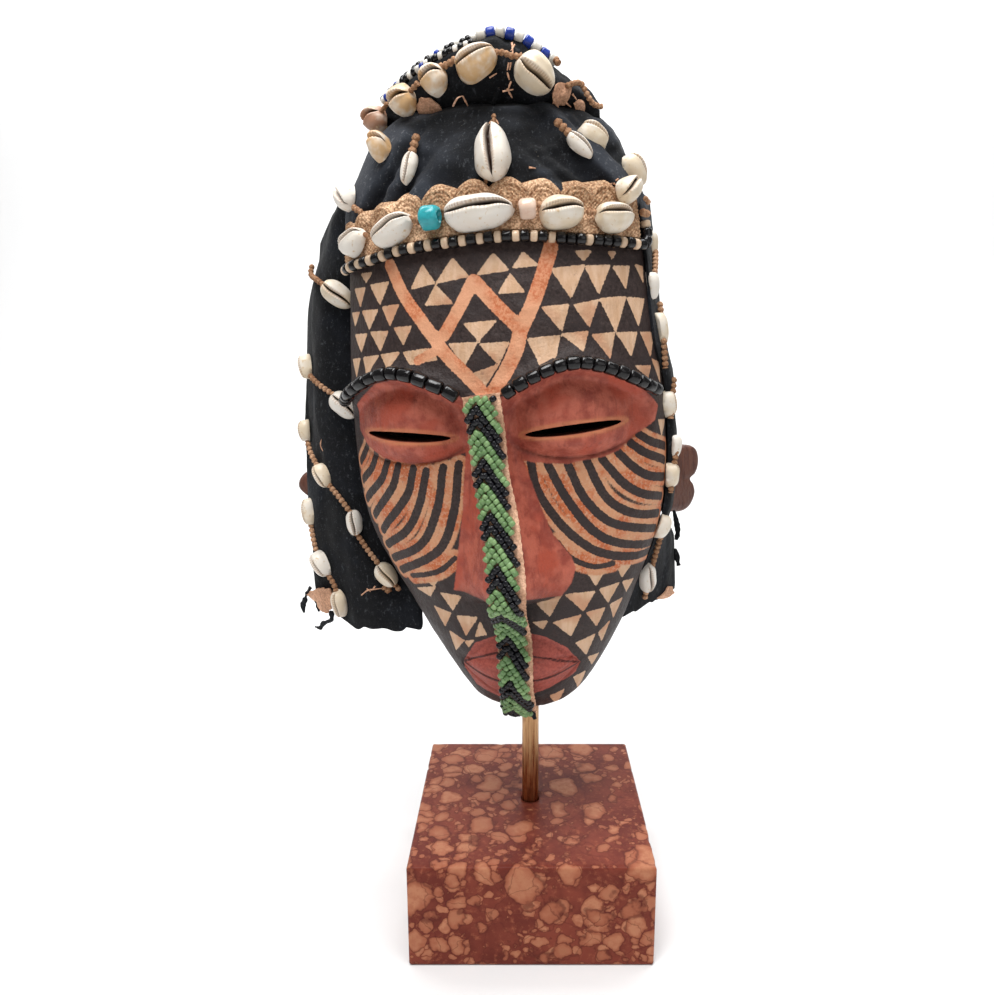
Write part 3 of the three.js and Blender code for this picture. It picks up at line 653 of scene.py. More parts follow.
def raffia_cloth(name="raffia_cloth", tint=(220, 180, 142), contrast=1.0):
    look = Look(name, Specular_IOR_Level=0.25)
    broad = look.noise(70, 3.0)
    fibre = look.noise(900, 4.0, 0.65)
    pale = rgb(*(min(255, c + 30) for c in tint))
    deep = rgb(*(c * (1 - 0.36 * contrast) for c in tint))
    shade = look.mix(look.step(fibre, 0.3, 0.7), deep, rgb(*tint))
    shade = look.mix(look.step(broad, 0.45, 0.7), shade, pale)
    holes = look.step(look.cells(1000), 0.42, 0.62)
    shade = look.mix(look.sum("MULTIPLY", holes, 0.62 * contrast), shade, rgb(132, 84, 52))
    # Darker where the value says: painted shade in the band's dips and between a cord's lumps,
    # random stains on the torn rags
    shade = look.mix(look.sum("MULTIPLY", look.value("hollow"), 0.5), shade, rgb(104, 68, 46))
    look.raised((fibre, 0.25), (look.sum("SUBTRACT", 1.0, look.cells(780)), 0.3))
    return look.done(shade, 0.85)


def shell():
    look = Look("shell", Specular_IOR_Level=0.4, Coat_Weight=0.1, Coat_Roughness=0.3)
    broad = look.noise(120, 3.0)
    shade = look.mix(look.step(broad, 0.4, 0.7), look.colour("tint"), rgb(228, 219, 206))
    shade = look.mix(look.step(look.noise(500, 3.0), 0.6, 0.75), shade, rgb(206, 180, 144))
    shade = look.mix(look.value("teeth"), shade, rgb(158, 116, 80))
    # Painted shade in the slit and at the two ends
    shade = look.mix(look.value("hollow"), shade, rgb(58, 34, 24))
    look.raised((look.noise(700, 3.0), 0.08), (broad, 0.2))
    return look.done(shade, look.step(broad, 0.3, 0.8, 0.32, 0.5))


def glass(name, roughness=0.12):
    look = Look(name, Specular_IOR_Level=0.38)
    cloud = look.noise(500, 3.0)
    shade = look.mix(look.step(cloud, 0.4, 0.8, 0.0, 0.3), look.colour("tint"), rgb(122, 112, 100),
                     "OVERLAY")
    # Painted shade where the value is set; the beads all set it to zero
    shade = look.mix(look.value("hollow"), shade, rgb(16, 12, 10))
    look.raised((cloud, 0.08))
    return look.done(shade, look.step(look.noise(900, 2.0), 0.3, 0.8, roughness, roughness + 0.12))


def marble():
    look = Look("marble", Specular_IOR_Level=0.09)
    wobble = look.add("TexNoise", {"Vector": look.place, "Scale": 100.0, "Detail": 4.0})
    bent = look.add("VectorMath", {
        0: wobble.outputs["Color"], 1: (0.5, 0.5, 0.5),
    }, operation="SUBTRACT").outputs[0]
    bent = look.add("VectorMath", {0: bent, "Scale": 0.011}, operation="SCALE").outputs[0]
    bent = look.add("VectorMath", {0: look.place, 1: bent}, operation="ADD").outputs[0]
    mottle = look.noise(280, 5.0, 0.7)
    broad = look.noise(40, 5.0, 0.65)
    shade = look.mix(look.step(broad, 0.36, 0.66), rgb(102, 44, 35), rgb(128, 61, 47))
    shade = look.mix(look.step(mottle, 0.5, 0.7), shade, rgb(148, 82, 60))
    cluster = look.step(look.noise(26, 2.0), 0.34, 0.52, 0.55, 1.0)
    for scale, reach, kept in ((150, 0.56, -0.9), (84, 0.62, -0.8), (48, 0.62, -0.3)):
        distance = look.cells(scale, place=bent)
        chance = look.add("SeparateColor", {
            "Color": look.cells(scale, output="Color", place=bent),
        }).outputs["Red"]
        size = look.sum("MULTIPLY", look.step(chance, kept, 1.0, -0.1, reach), cluster)
        border = look.cells(scale, "DISTANCE_TO_EDGE", place=bent)
        within = look.sum("MINIMUM", look.sum("SUBTRACT", size, distance), border)
        pale = look.mix(chance, rgb(150, 87, 63), rgb(184, 124, 93))
        pale = look.mix(look.step(mottle, 0.4, 0.66), pale, rgb(168, 104, 78))
        pale = look.mix(look.step(within, 0.2, 0.04), pale, rgb(156, 90, 66))
        rim = look.step(look.sum("ABSOLUTE", within), 0.07, 0.0)
        shade = look.mix(look.step(within, 0.0, 0.02), shade, pale)
        shade = look.mix(look.sum("MULTIPLY", rim, 0.65), shade, rgb(88, 38, 30))
    crack = look.step(look.cells(30, "DISTANCE_TO_EDGE", place=bent), 0.014, 0.0)
    shade = look.mix(look.sum("MULTIPLY", crack, 0.5), shade, rgb(82, 34, 28))
    look.raised((mottle, 0.04))
    return look.done(shade, look.step(mottle, 0.3, 0.8, 0.32, 0.5))


def brass():
    look = Look("brass", Metallic=1.0)
    streak = look.noise(300, 3.0, 0.6, look.stretched(4, 4, 0.15))
    shade = look.mix(look.step(streak, 0.35, 0.7), rgb(150, 112, 78), rgb(194, 156, 114))
    shade = look.mix(look.step(look.noise(70, 4.0), 0.55, 0.75), shade, rgb(112, 70, 44))
    look.raised((streak, 0.03))
    return look.done(shade, look.step(streak, 0.3, 0.8, 0.26, 0.42))


LOOKS = {
    "wood": painted_wood(),
    "cloth": black_cloth(),
    "raffia": raffia_cloth(),
    "cord": raffia_cloth("raffia_cord", (182, 140, 106), 0.8),
    "rag": raffia_cloth("tan_rag", (222, 172, 140), 0.45),
    "shell": shell(),
    "glass": glass("bead_glass"),
    "seed": glass("seed_glass", 0.25),
    "marble": marble(),
    "brass": brass(),
}


# Places on the face from places in the photograph
def ray(across, down):
    """Origin and directions, in the mask's frame, of the sight lines through photo pixels."""
    across, down = np.asarray(across, float), np.asarray(down, float)
    right = (across - PHOTO_CENTRE[0]) / FOCAL
    up = (PHOTO_CENTRE[1] - down) / FOCAL
    direction = np.stack([
        right, math.cos(PITCH) + up * math.sin(PITCH), up * math.cos(PITCH) - math.sin(PITCH),
    ], -1)
    back = np.array(STANCE.inverted())
    return back[:3, :3] @ np.array(CAMERA_AT) + back[:3, 3], direction @ back[:3, :3].T


def seen_on(depth_at, across, down, start=40.0, rounds=40):
    """x and height where the sight line meets a surface given as a depth."""
    origin, direction = ray(across, down)
    depth = np.full(np.shape(across), start, float)
    for _ in range(rounds):
        reach = (-depth - origin[1]) / direction[..., 1]
        x = origin[0] + reach * direction[..., 0]
        height = origin[2] + reach * direction[..., 2]
        depth = lerp(depth, np.clip(depth_at(x, height), -60, 90), 0.5)
    return x, height


ARC_HEIGHTS = np.linspace(60, 345, 96)
ARC_SHARES = np.linspace(-1, 1, 241)


def arc_table():
    shares = np.sin(ARC_SHARES * math.pi / 2)
    x = half_width(ARC_HEIGHTS)[:, None] * shares
    depth = middle_depth(ARC_HEIGHTS)[:, None] * rounded(shares)
    steps = np.hypot(np.diff(x, axis=1), np.diff(depth, axis=1))
    run = np.concatenate([np.zeros((len(x), 1)), np.cumsum(steps, axis=1)], 1)
    return run - run[:, len(ARC_SHARES) // 2][:, None]


ARCS = arc_table()


def unrolled(x, height):
    """Way round the plain head from its middle, and height, both in millimetres."""
    share = np.clip((x - middle_x(height)) / half_width(height), -1, 1)
    column = (np.arcsin(share) * 2 / math.pi + 1) / 2 * (len(ARC_SHARES) - 1)
    row = np.clip((height - ARC_HEIGHTS[0]) / (ARC_HEIGHTS[1] - ARC_HEIGHTS[0]), 0,
                  len(ARC_HEIGHTS) - 1.001)
    r, c = row.astype(int), np.minimum(column.astype(int), len(ARC_SHARES) - 2)
    down, along = row - r, column - c
    upper = lerp(ARCS[r, c], ARCS[r, c + 1], along)
    lower = lerp(ARCS[r + 1, c], ARCS[r + 1, c + 1], along)
    return np.stack([lerp(upper, lower, down), height], -1)


def painted_at(window, places):
    """Unrolled places from points on an enlargement: its corner in the photo and its scale."""
    left, top, scale = window
    places = np.asarray(places, float)
    x, height = seen_on(face_depth, left + places[..., 0] / scale, top + places[..., 1] / scale)
    return unrolled(x, height)


def to_segments(points, path):
    """Distance of each point to an open path, and the share of the path where it is nearest."""
    best = np.full(len(points), 1e9)
    share = np.zeros(len(points))
    steps = len(path) - 1
    for i in range(steps):
        a, b = path[i], path[i + 1]
        along = b - a
        t = np.clip(((points - a) @ along) / max(along @ along, 1e-9), 0, 1)
        distance = np.linalg.norm(points - a - t[:, None] * along, axis=1)
        nearer = distance < best
        best[nearer] = distance[nearer]
        share[nearer] = ((i + t) / steps)[nearer]
    return best, share


def in_outline(points, outline):
    """Distance to the edge of an area, positive inside it."""
    closed = np.concatenate([outline, outline[:1]])
    distance, _ = to_segments(points, closed)
    crossings = np.zeros(len(points), int)
    for a, b in zip(closed[:-1], closed[1:]):
        between = (a[1] > points[:, 1]) != (b[1] > points[:, 1])
        rise = b[1] - a[1] if b[1] != a[1] else 1e-9
        x = a[0] + (points[:, 1] - a[1]) / rise * (b[0] - a[0])
        crossings += between & (points[:, 0] < x)
    return np.where(crossings % 2, distance, -distance)


REACH = 9.0


class Paint:
    """Signed distances to painted areas over the face, in millimetres, at the mesh's points."""

    def __init__(self, places):
        self.places = places
        self.layers = {}

    def near(self, shape):
        low, high = shape.min(0) - REACH, shape.max(0) + REACH
        return np.all((self.places > low) & (self.places < high), axis=1)

    def layer(self, name):
        return self.layers.setdefault(name, np.full(len(self.places), -REACH))

    def area(self, name, outline):
        chosen = self.near(outline)
        layer = self.layer(name)
        layer[chosen] = np.maximum(layer[chosen], in_outline(self.places[chosen], outline))

    def stroke(self, name, path, width_at):
        """A brush line along a path, as wide as width_at gives for a share of its length."""
        even = smooth_path(path, 1.5)
        chosen = self.near(even)
        distance, share = to_segments(self.places[chosen], even)
        layer = self.layer(name)
        layer[chosen] = np.maximum(layer[chosen], width_at(share) / 2 - distance)
        return distance, chosen


# Windows on the photograph, enlarged: left, top, scale
BROW = (340, 235, 5)
CHEEK = (345, 430, 5)
JAW = (400, 555, 6)

# Light triangles on the dark ground: left and right corner, and the point below or above them
BROW_TRIANGLES = (
    ((108, 197), (158, 190), (133, 236)), ((75, 272), (126, 266), (103, 356)),
    ((154, 252), (241, 236), (200, 346)), ((62, 392), (97, 388), (76, 452)),
    ((113, 382), (187, 376), (148, 470)), ((212, 362), (291, 350), (250, 450)),
    ((78, 500), (134, 496), (108, 582)), ((154, 488), (238, 482), (202, 577)),
    ((272, 466), (356, 458), (316, 546)), ((68, 624), (101, 618), (84, 706)),
    ((117, 614), (192, 604), (132, 706)), ((206, 600), (296, 588), (238, 668)),
    ((318, 588), (444, 570), (352, 646)), ((352, 646), (470, 572), (482, 622)),
    ((358, 268), (472, 240), (412, 152)), ((482, 240), (640, 206), (563, 118)),
    ((428, 350), (562, 340), (480, 254)), ((688, 197), (842, 174), (765, 92)),
    ((866, 162), (988, 150), (913, 86)), ((794, 290), (918, 282), (850, 196)),
    ((622, 444), (778, 430), (694, 528)), ((546, 546), (684, 540), (622, 650)),
    ((700, 545), (842, 538), (792, 645)), ((650, 700), (790, 650), (720, 760)),
    ((1178, 82), (1256, 80), (1218, 127)), ((1342, 84), (1378, 86), (1360, 118)),
    ((1058, 170), (1222, 152), (1156, 312)), ((1226, 156), (1348, 154), (1294, 290)),
    ((1366, 158), (1446, 158), (1428, 264)), ((1476, 150), (1512, 160), (1516, 236)),
    ((1012, 362), (1142, 348), (1108, 477)), ((1172, 350), (1290, 326), (1246, 456)),
    ((1302, 320), (1428, 310), (1378, 480)), ((1436, 314), (1520, 322), (1492, 450)),
    ((946, 520), (1096, 504), (1076, 612)), ((1110, 496), (1238, 484), (1216, 577)),
    ((1262, 502), (1372, 488), (1350, 612)), ((1384, 490), (1484, 488), (1456, 600)),
    ((1504, 488), (1568, 490), (1552, 602)), ((1478, 656), (1552, 655), (1540, 708)),
    ((940, 524), (1080, 600), (1000, 645)), ((1560, 622), (1596, 640), (1600, 735)),
    ((1592, 925), (1622, 925), (1608, 1000)),
)
JAW_TRIANGLES = (
    ((1105, 75), (1225, 95), (1175, 182)), ((1288, 36), (1398, 34), (1332, 132)),
    ((994, 240), (1168, 220), (1100, 332)), ((1198, 206), (1312, 168), (1248, 282)),
    ((1336, 160), (1400, 140), (1358, 214)), ((1122, 345), (1228, 316), (1180, 422)),
    ((1262, 296), (1332, 258), (1280, 372)), ((824, 292), (968, 238), (898, 364)),
    ((924, 404), (1082, 362), (1025, 482)), ((1058, 528), (1168, 478), (1118, 592)),
    ((1192, 466), (1256, 398), (1210, 512)), ((804, 406), (882, 396), (856, 442)),
    ((1130, 612), (1190, 590), (1152, 652)), ((1044, 732), (1112, 694), (1066, 792)),
    ((904, 842), (982, 806), (922, 884)), ((148, 142), (248, 122), (202, 184)),
    ((106, 198), (212, 190), (182, 244)), ((246, 228), (364, 250), (316, 328)),
    ((208, 308), (304, 350), (270, 422)), ((342, 366), (462, 376), (396, 478)),
    ((300, 456), (382, 512), (336, 568)), ((455, 486), (516, 476), (480, 404)),
    ((392, 518), (442, 510), (412, 545)),
)
# Orange bands: paths and widths in millimetres
BANDS = (
    (((250, 150), (312, 290), (400, 420), (480, 530), (540, 610), (620, 690), (700, 775)), 6.4),
    (((664, 228), (605, 350), (520, 500)), 6.2),
    (((672, 232), (770, 340), (880, 450)), 6.6),
    (((1054, 60), (1010, 210), (952, 370), (905, 470), (884, 560), (846, 650), (770, 780)), 7.2),
    (((390, 628), (470, 585)), 4.5),
)
# Dark lines from under the eyes to the rim
LEFT_STRIPES = (
    ((112, 72), (100, 112), (82, 152)), ((156, 112), (134, 190), (92, 248)),
    ((214, 156), (184, 244), (112, 342)), ((266, 178), (236, 290), (150, 425)),
    ((342, 192), (308, 330), (192, 498)), ((406, 205), (372, 370), (310, 500), (214, 572)),
    ((490, 190), (462, 390), (382, 570), (244, 640)),
    ((570, 172), (546, 400), (470, 600), (284, 700)),
    ((552, 640), (470, 705), (336, 728)),
)
RIGHT_STRIPES = (
    ((930, 162), (962, 300), (1080, 470), (1230, 592), (1390, 632), (1520, 600)),
    ((1014, 168), (1100, 330), (1250, 510), (1400, 570), (1545, 550)),
    ((1114, 172), (1205, 350), (1340, 465), (1550, 490)),
    ((1208, 155), (1310, 340), (1440, 415), (1565, 415)),
    ((1284, 142), (1390, 262), (1480, 315), (1580, 330)),
    ((1364, 110), (1450, 190), (1520, 228), (1592, 232)),
    ((1426, 64), (1500, 112), (1596, 150)),
    ((1466, 18), (1530, 56), (1598, 80)),
    ((1062, 560), (1130, 640), (1240, 682), (1340, 668)),
)
LEFT_SOCKET = (
    (85, 850), (175, 745), (300, 715), (450, 735), (575, 785), (630, 835), (640, 975),
    (635, 1085), (500, 1135), (350, 1145), (225, 1115), (140, 1050), (100, 975),
)
RIGHT_SOCKET = (
    (815, 835), (900, 750), (1025, 695), (1175, 665), (1325, 665), (1450, 715), (1550, 800),
    (1590, 850), (1575, 925), (1475, 995), (1395, 1075), (1315, 1110), (1225, 1125),
    (1135, 1145), (1035, 1140), (955, 1135), (850, 1100),
)
NOSE = (
    (620, -170), (850, -170), (850, 60), (905, 180), (962, 340), (1040, 520), (1130, 630),
    (1155, 690), (1130, 770), (1080, 832), (860, 846), (730, 872), (690, 852), (545, 800),
    (556, 700), (572, 560), (590, 400), (598, 200), (605, 40),
)
LIPS = (
    (384, 632), (450, 525), (600, 474), (800, 474), (870, 490), (1000, 552), (1082, 640),
    (1050, 705), (900, 792), (780, 835), (600, 850), (460, 772), (388, 664),
)
# Dark lines along the carved cuts between the lips: painted shade in the grooves
LIP_LINES = (
    ((388, 636), (470, 612), (610, 588), (800, 612), (940, 630), (1072, 640)),
    ((392, 645), (500, 718), (610, 756), (810, 752), (930, 722), (1060, 650)),
)


def paint_face(x, height):
    paint = Paint(unrolled(x, height))
    for window, triangles in ((BROW, BROW_TRIANGLES), (JAW, JAW_TRIANGLES)):
        for corners in triangles:
            paint.area("light", painted_at(window, corners))
    for path, width in BANDS:
        paint.stroke("band", painted_at(BROW, path), level(width))
    cheek = paint.layer("cheek")
    for stripes in (LEFT_STRIPES, RIGHT_STRIPES):
        for path in stripes:
            thin = 3.0 if path in (LEFT_STRIPES[-1], RIGHT_STRIPES[-1]) else 4.7
            distance, chosen = paint.stroke(
                "stripe", painted_at(CHEEK, path),
                lambda share, w=thin: w * (0.9 + 0.1 * smooth(0, 0.4, share)),
            )
            cheek[chosen] = np.maximum(cheek[chosen], 4.9 - distance)
    for outline, window in ((LEFT_SOCKET, BROW), (RIGHT_SOCKET, BROW), (NOSE, CHEEK)):
        paint.area("red", painted_at(window, outline))
    paint.area("lip", painted_at(JAW, LIPS))
    # Painted shade along the carved cuts between the lips
    for path in LIP_LINES:
        paint.stroke("line", painted_at(JAW, path), level(1.1))
    return paint.layers


# Marble base and brass rod
def marble_base():
    """A block with worn, rounded arrises and a small hole for the rod."""
    half = BASE_SIDE / 2
    arris = 1.5
    levels = [0.0]
    profile = [half - arris]
    for angle in np.linspace(0, math.pi / 2, 5):
        levels.append(arris * (1 - math.cos(angle)))
        profile.append(half - arris + arris * math.sin(angle))
    for height in np.linspace(arris, BASE_HEIGHT - arris, 24)[1:]:
        levels.append(height)
        profile.append(half)
    for angle in np.linspace(0, math.pi / 2, 5)[1:]:
        levels.append(BASE_HEIGHT - arris + arris * math.sin(angle))
        profile.append(half - arris + arris * math.cos(angle))
    corner = 1.2
    edge = np.linspace(-1, 1, 41)
    turn = np.linspace(0, math.pi / 2, 5)
    side = []
    for quarter in range(4):
        c, s = round(math.cos(quarter * math.pi / 2)), round(math.sin(quarter * math.pi / 2))
        straight = [(half, y * (half - corner)) for y in edge]
        bend = [(half - corner + corner * math.cos(a), half - corner + corner * math.sin(a))
                for a in turn[1:-1]]
        side += [(x * c - y * s, x * s + y * c) for x, y in straight + bend]
    side = np.array(side)
    rings = []
    for height, reach in zip(levels, profile):
        rings.append(np.column_stack([side * reach / half, np.full(len(side), height)]))
    for reach in np.linspace(0.95, 0.12, 12):
        rings.append(np.column_stack([side * reach, np.full(len(side), BASE_HEIGHT)]))
    rings = np.array(rings)
    near_edge = (np.abs(rings[..., :2]).max(-1) > half - 2.5) & (
        (rings[..., 2] > BASE_HEIGHT - 2.5) | (np.abs(rings[..., :2]).min(-1) > half - 2.5)
    )
    chip = np.maximum(0, waves(rings, 7, 5) - 1.4) * 0.5
    rings[..., :2] *= (1 - near_edge * chip / half)[..., None]
    rings[..., 2] -= near_edge * chip * (rings[..., 2] > BASE_HEIGHT / 2)
    hole_edge = ROD_RADIUS + 0.45
    angle = np.arctan2(side[:, 1], side[:, 0])
    for radius, depth in ((hole_edge + 0.3, 0.0), (hole_edge, 0.4), (hole_edge, 8.0)):
        rings = np.concatenate([rings, [np.column_stack([
            radius * np.cos(angle), radius * np.sin(angle), np.full(len(side), BASE_HEIGHT - depth),
        ])]])
    points, faces = loft(rings)
    piece = mesh_object("marble_block", points * MM, faces)
    return dress(piece, LOOKS["marble"], "marble", ["marble_base"], 60)


def brass_rod():
    low = BASE_HEIGHT - 7
    high = BASE_HEIGHT + CHIN + 22
    heights = np.concatenate([[low], np.linspace(low + 0.4, high - 0.6, 60), [high]])
    angle = circle(64)
    radius = np.full(len(heights), float(ROD_RADIUS))
    radius[[0, -1]] -= 0.5
    rings = np.stack([
        radius[:, None] * np.cos(angle), radius[:, None] * np.sin(angle),
        np.broadcast_to(heights[:, None], (len(heights), len(angle))),
    ], -1)
    points, faces = loft(rings)
    piece = mesh_object("brass_stem", points * MM, faces)
    return dress(piece, LOOKS["brass"], "brass", ["brass_rod"])


# Carved face
WOOD_BACK = -58
WALL = 9.5
FRONT_WALL = 13
HOLLOW_FLOOR = 104
FRONT_COLUMNS = 240


def wood_outside():
    share = np.linspace(-1, 1, FRONT_COLUMNS + 1)
    rows = np.concatenate([np.linspace(CHIN, 80, 14)[:-1], np.linspace(80, WOOD_TOP, 300)])
    follow = smooth(222, 247, rows) * (1 - smooth(256, 300, rows))
    x = middle_x(rows)[:, None] + half_width(rows)[:, None] * np.sin(math.pi / 2 * share)
    shift = brow_line(np.abs(x - FACE_SKEW)) - 252
    height = rows[:, None] + follow[:, None] * shift
    depth = face_depth(x, height)
    depth[:, [0, -1]] = 0
    front = point(x, depth, height)
    uneven = waves(front, 11, 11) * 0.22 + waves(front, 3.5, 12) * 0.07
    front[..., 1] -= uneven * smooth(0, 6, depth)
    back = WOOD_BACK + 18 * (1 - smooth(CHIN, 100, rows))
    wall = np.linspace(0, 1, 15)[1:]
    behind = np.linspace(-1, 1, 12)[1:-1]

    def side(rim):
        return point(rim[:, 0][:, None], back[:, None] * wall, rim[:, 2][:, None])

    right, left = side(front[:, -1]), side(front[:, 0])[:, ::-1]
    closing = right[:, -1:] + (left[:, :1] - right[:, -1:]) * ((behind + 1) / 2)[None, :, None]
    return loft(np.concatenate([front, right, closing, left], 1))


def wood_hollow():
    heights = np.concatenate([[HOLLOW_FLOOR], np.linspace(HOLLOW_FLOOR + 4, WOOD_TOP + 8, 60)])
    inset = np.where(heights == HOLLOW_FLOOR, 5, 0)
    half = half_width(heights) - WALL - inset
    front = middle_depth(heights) - FRONT_WALL - inset
    share = np.sin(math.pi / 2 * np.linspace(-1, 1, 61))
    arc = point(middle_x(heights)[:, None] + half[:, None] * share,
                front[:, None] * rounded(share), heights[:, None])
    arc[..., 1] += waves(arc, 14, 21) * 0.5
    open_back = WOOD_BACK - 20
    right = point((middle_x(heights) + half)[:, None], open_back, heights[:, None])
    left = point((middle_x(heights) - half)[:, None], open_back, heights[:, None])
    return loft(np.concatenate([arc, right, left], 1))


def eye_slit(side):
    angle = circle(48)
    along = np.cos(angle) * 23
    up = np.sin(angle) * 2.4 + along * 0.065
    rings = [point(FACE_SKEW + side * (EYE_OUT + along), depth, EYE_HEIGHT + up)
             for depth in np.linspace(6, 70, 16)]
    return loft(rings)


def ear(side, turn, low, high, reach):
    """A flat lug with two lobes and rounded edges, standing out of the side wall at an angle."""
    tall = high - low
    outline = np.array([
        (-8, tall * 0.12), (reach * 0.2, tall * 0.05), (reach * 0.45, 0),
        (reach * 0.7, tall * 0.03),
        (reach * 0.86, tall * 0.2), (reach * 0.82, tall * 0.37), (reach * 0.72, tall * 0.47),
        (reach * 0.9, tall * 0.56), (reach, tall * 0.74), (reach * 0.93, tall * 0.92),
        (reach * 0.65, tall), (reach * 0.3, tall * 0.97), (-8, tall * 0.88), (-8, tall * 0.5),
    ])
    outline = smooth_path(np.column_stack([np.vstack([outline, outline[:1]]), np.zeros(15)]), 2.0)
    outline = outline[:-1, :2]
    middle = np.array([reach * 0.35, tall * 0.5])
    rings = []
    for share in np.linspace(-1, 1, 15):
        shrink = 0.8 + 0.2 * math.sqrt(1 - min(1, abs(share)) ** 3)
        flat = middle + (outline - middle) * shrink
        rings.append(np.column_stack([flat[:, 0], np.full(len(flat), share * 5.5), flat[:, 1]]))
    rings = np.array(rings)
    rings += waves(rings, 12, 31)[..., None] * 0.25
    angle = turn if side > 0 else math.pi - turn
    c, s = math.cos(angle), math.sin(angle)
    turned = rings.copy()
    turned[..., 0] = rings[..., 0] * c - rings[..., 1] * s + side * half_width((low + high) / 2)
    turned[..., 1] = rings[..., 0] * s + rings[..., 1] * c + 46
    turned[..., 2] += low
    return loft(turned)


def rod_seat():
    angle = circle(32)
    back = np.array(STANCE.inverted())
    rings = []
    for height in (BASE_HEIGHT + PIVOT - 10, BASE_HEIGHT + CHIN + 27):
        ring = np.column_stack([
            (ROD_RADIUS + 0.3) * np.cos(angle), (ROD_RADIUS + 0.3) * np.sin(angle),
            np.full(len(angle), height),
        ]) * MM
        rings.append(ring @ back[:3, :3].T + back[:3, 3])
    return loft(rings)


def cut_and_join(body, joins, cuts):
    """The body with some solids joined to it and others cut from it."""
    tools = []
    for operation, parts in (("UNION", joins), ("DIFFERENCE", cuts)):
        for part in parts:
            tool = mesh_object("tool", *part)
            tools.append(tool)
            step = body.modifiers.new(operation, "BOOLEAN")
            step.operation, step.solver, step.object = operation, "MANIFOLD", tool
    evaluated = body.evaluated_get(bpy.context.evaluated_depsgraph_get())
    mesh = bpy.data.meshes.new_from_object(evaluated)
    body.modifiers.clear()
    body.data = mesh
    for tool in tools:
        bpy.data.objects.remove(tool)


def mesh_points(mesh):
    flat = np.empty(len(mesh.vertices) * 3, np.float32)
    mesh.vertices.foreach_get("co", flat)
    return flat.reshape(-1, 3).astype(float)


def carved_face():
    body = mesh_object("kuba_face", *wood_outside())
    cut_and_join(
        body,
        [ear(-1, math.radians(4), 165, 206, 61.5), ear(1, math.radians(48), 168, 208, 34)],
        [wood_hollow(), eye_slit(-1), eye_slit(1), rod_seat()],
    )
    places = mesh_points(body.data)
    x, depth, height = places[:, 0], -places[:, 1], places[:, 2]
    surface = face_depth(x, height)
    across = np.abs(x - middle_x(height))
    under = np.where(depth > 0, surface - depth, half_width(height) - across)
    beyond = across - half_width(height)
    bare = np.maximum(smooth(1.6, 4, under), smooth(0.6, 1.6, beyond))
    bare = np.maximum(bare, smooth(-16, -30, depth))
    side = np.abs(x - FACE_SKEW)
    lid = eye_lid(side, height)
    # Painted shade: darker under the lower lids, a painted shadow under the nose, and darker inside
    # the eye slits
    shadow_under_nose = bell(height - 147, 4) * (np.abs(x - nose_middle(147)) < 30) * smooth(0, 9, depth)
    under_lid = 0.6 * bell(lid, 0.12) * smooth(EYE_HEIGHT - 3, EYE_HEIGHT - 10, height)
    shade_in_creases = under_lid + 0.7 * shadow_under_nose * smooth(30, 44, depth)
    from_slit = height - EYE_HEIGHT - 0.065 * (side - EYE_OUT)
    slit = bell(from_slit / 3.2, 1) * (np.abs(side - EYE_OUT) < 25)
    shade_in_creases = np.maximum(shade_in_creases, slit * smooth(0.3, 1.5, under))
    lid_edge = bell(np.abs(from_slit) - 3.1 * np.sqrt(np.maximum(
        0, 1 - ((side - EYE_OUT) / 26) ** 2)), 0.9) * (np.abs(side - EYE_OUT) < 27)
    glow = lid_edge * (1 - smooth(0.2, 1, under)) * (depth > 20)
    layers = paint_face(x, height)
    body.data.transform(STANCE)
    return dress(body, LOOKS["wood"], "painted_wood", ["carved_face"], 55,
                 bare=bare, hollow=np.clip(shade_in_creases, 0, 1), glow=glow, **layers)


# Cloth hood: cap, crest and three hanging panels
def normals_of(grid, closed=False):
    """Unit normals of a grid of points, row by row."""
    if closed:
        around = (np.roll(grid, -1, 1) - np.roll(grid, 1, 1)) / 2
    else:
        around = np.gradient(grid, axis=1)
    up = np.gradient(grid, axis=0)
    normal = np.cross(around, up)
    return normal / np.maximum(np.linalg.norm(normal, axis=-1), 1e-9)[..., None]


CLOTH_THICK = 1.5


def cap_grid():
    front = np.sin(math.pi / 2 * np.linspace(-1, 1, 171))
    back = np.sin(math.pi / 2 * np.linspace(1, -1, 91))
    heights = np.linspace(CAP_BOTTOM, 393, 62)[:, None]
    front_bulge = rounded(front)
    back_bulge = np.sqrt(np.maximum(0, 1 - np.abs(back) ** 2.5))
    half, middle = cap_half(heights), cap_middle(heights)
    end, start = cap_front_end(heights), cap_back_start(heights)
    walls = np.linspace(0, 1, 10)[1:-1]
    forward = end + (cap_front(heights) - end) * front_bulge
    backward = start + (cap_back(heights) - start) * back_bulge
    front_arc = point(middle + front * half, forward, heights)
    back_arc = point(middle + back * half, backward, heights)
    right = front_arc[:, -1:] + (back_arc[:, :1] - front_arc[:, -1:]) * walls[None, :, None]
    left = back_arc[:, -1:] + (front_arc[:, :1] - back_arc[:, -1:]) * walls[None, :, None]
    side = np.concatenate([front_arc, right, back_arc, left], 1)
    pole = point(CAP_POLE[1], CAP_POLE[2], CAP_POLE[0])
    top = []
    for share in np.linspace(0, 0.96, 16)[1:]:
        ring = side[-1] + (pole - side[-1]) * share
        ring[:, 2] = 393 + 3 * (1 - (1 - share) ** 2)
        top.append(ring)
    return np.concatenate([side, np.array(top)])


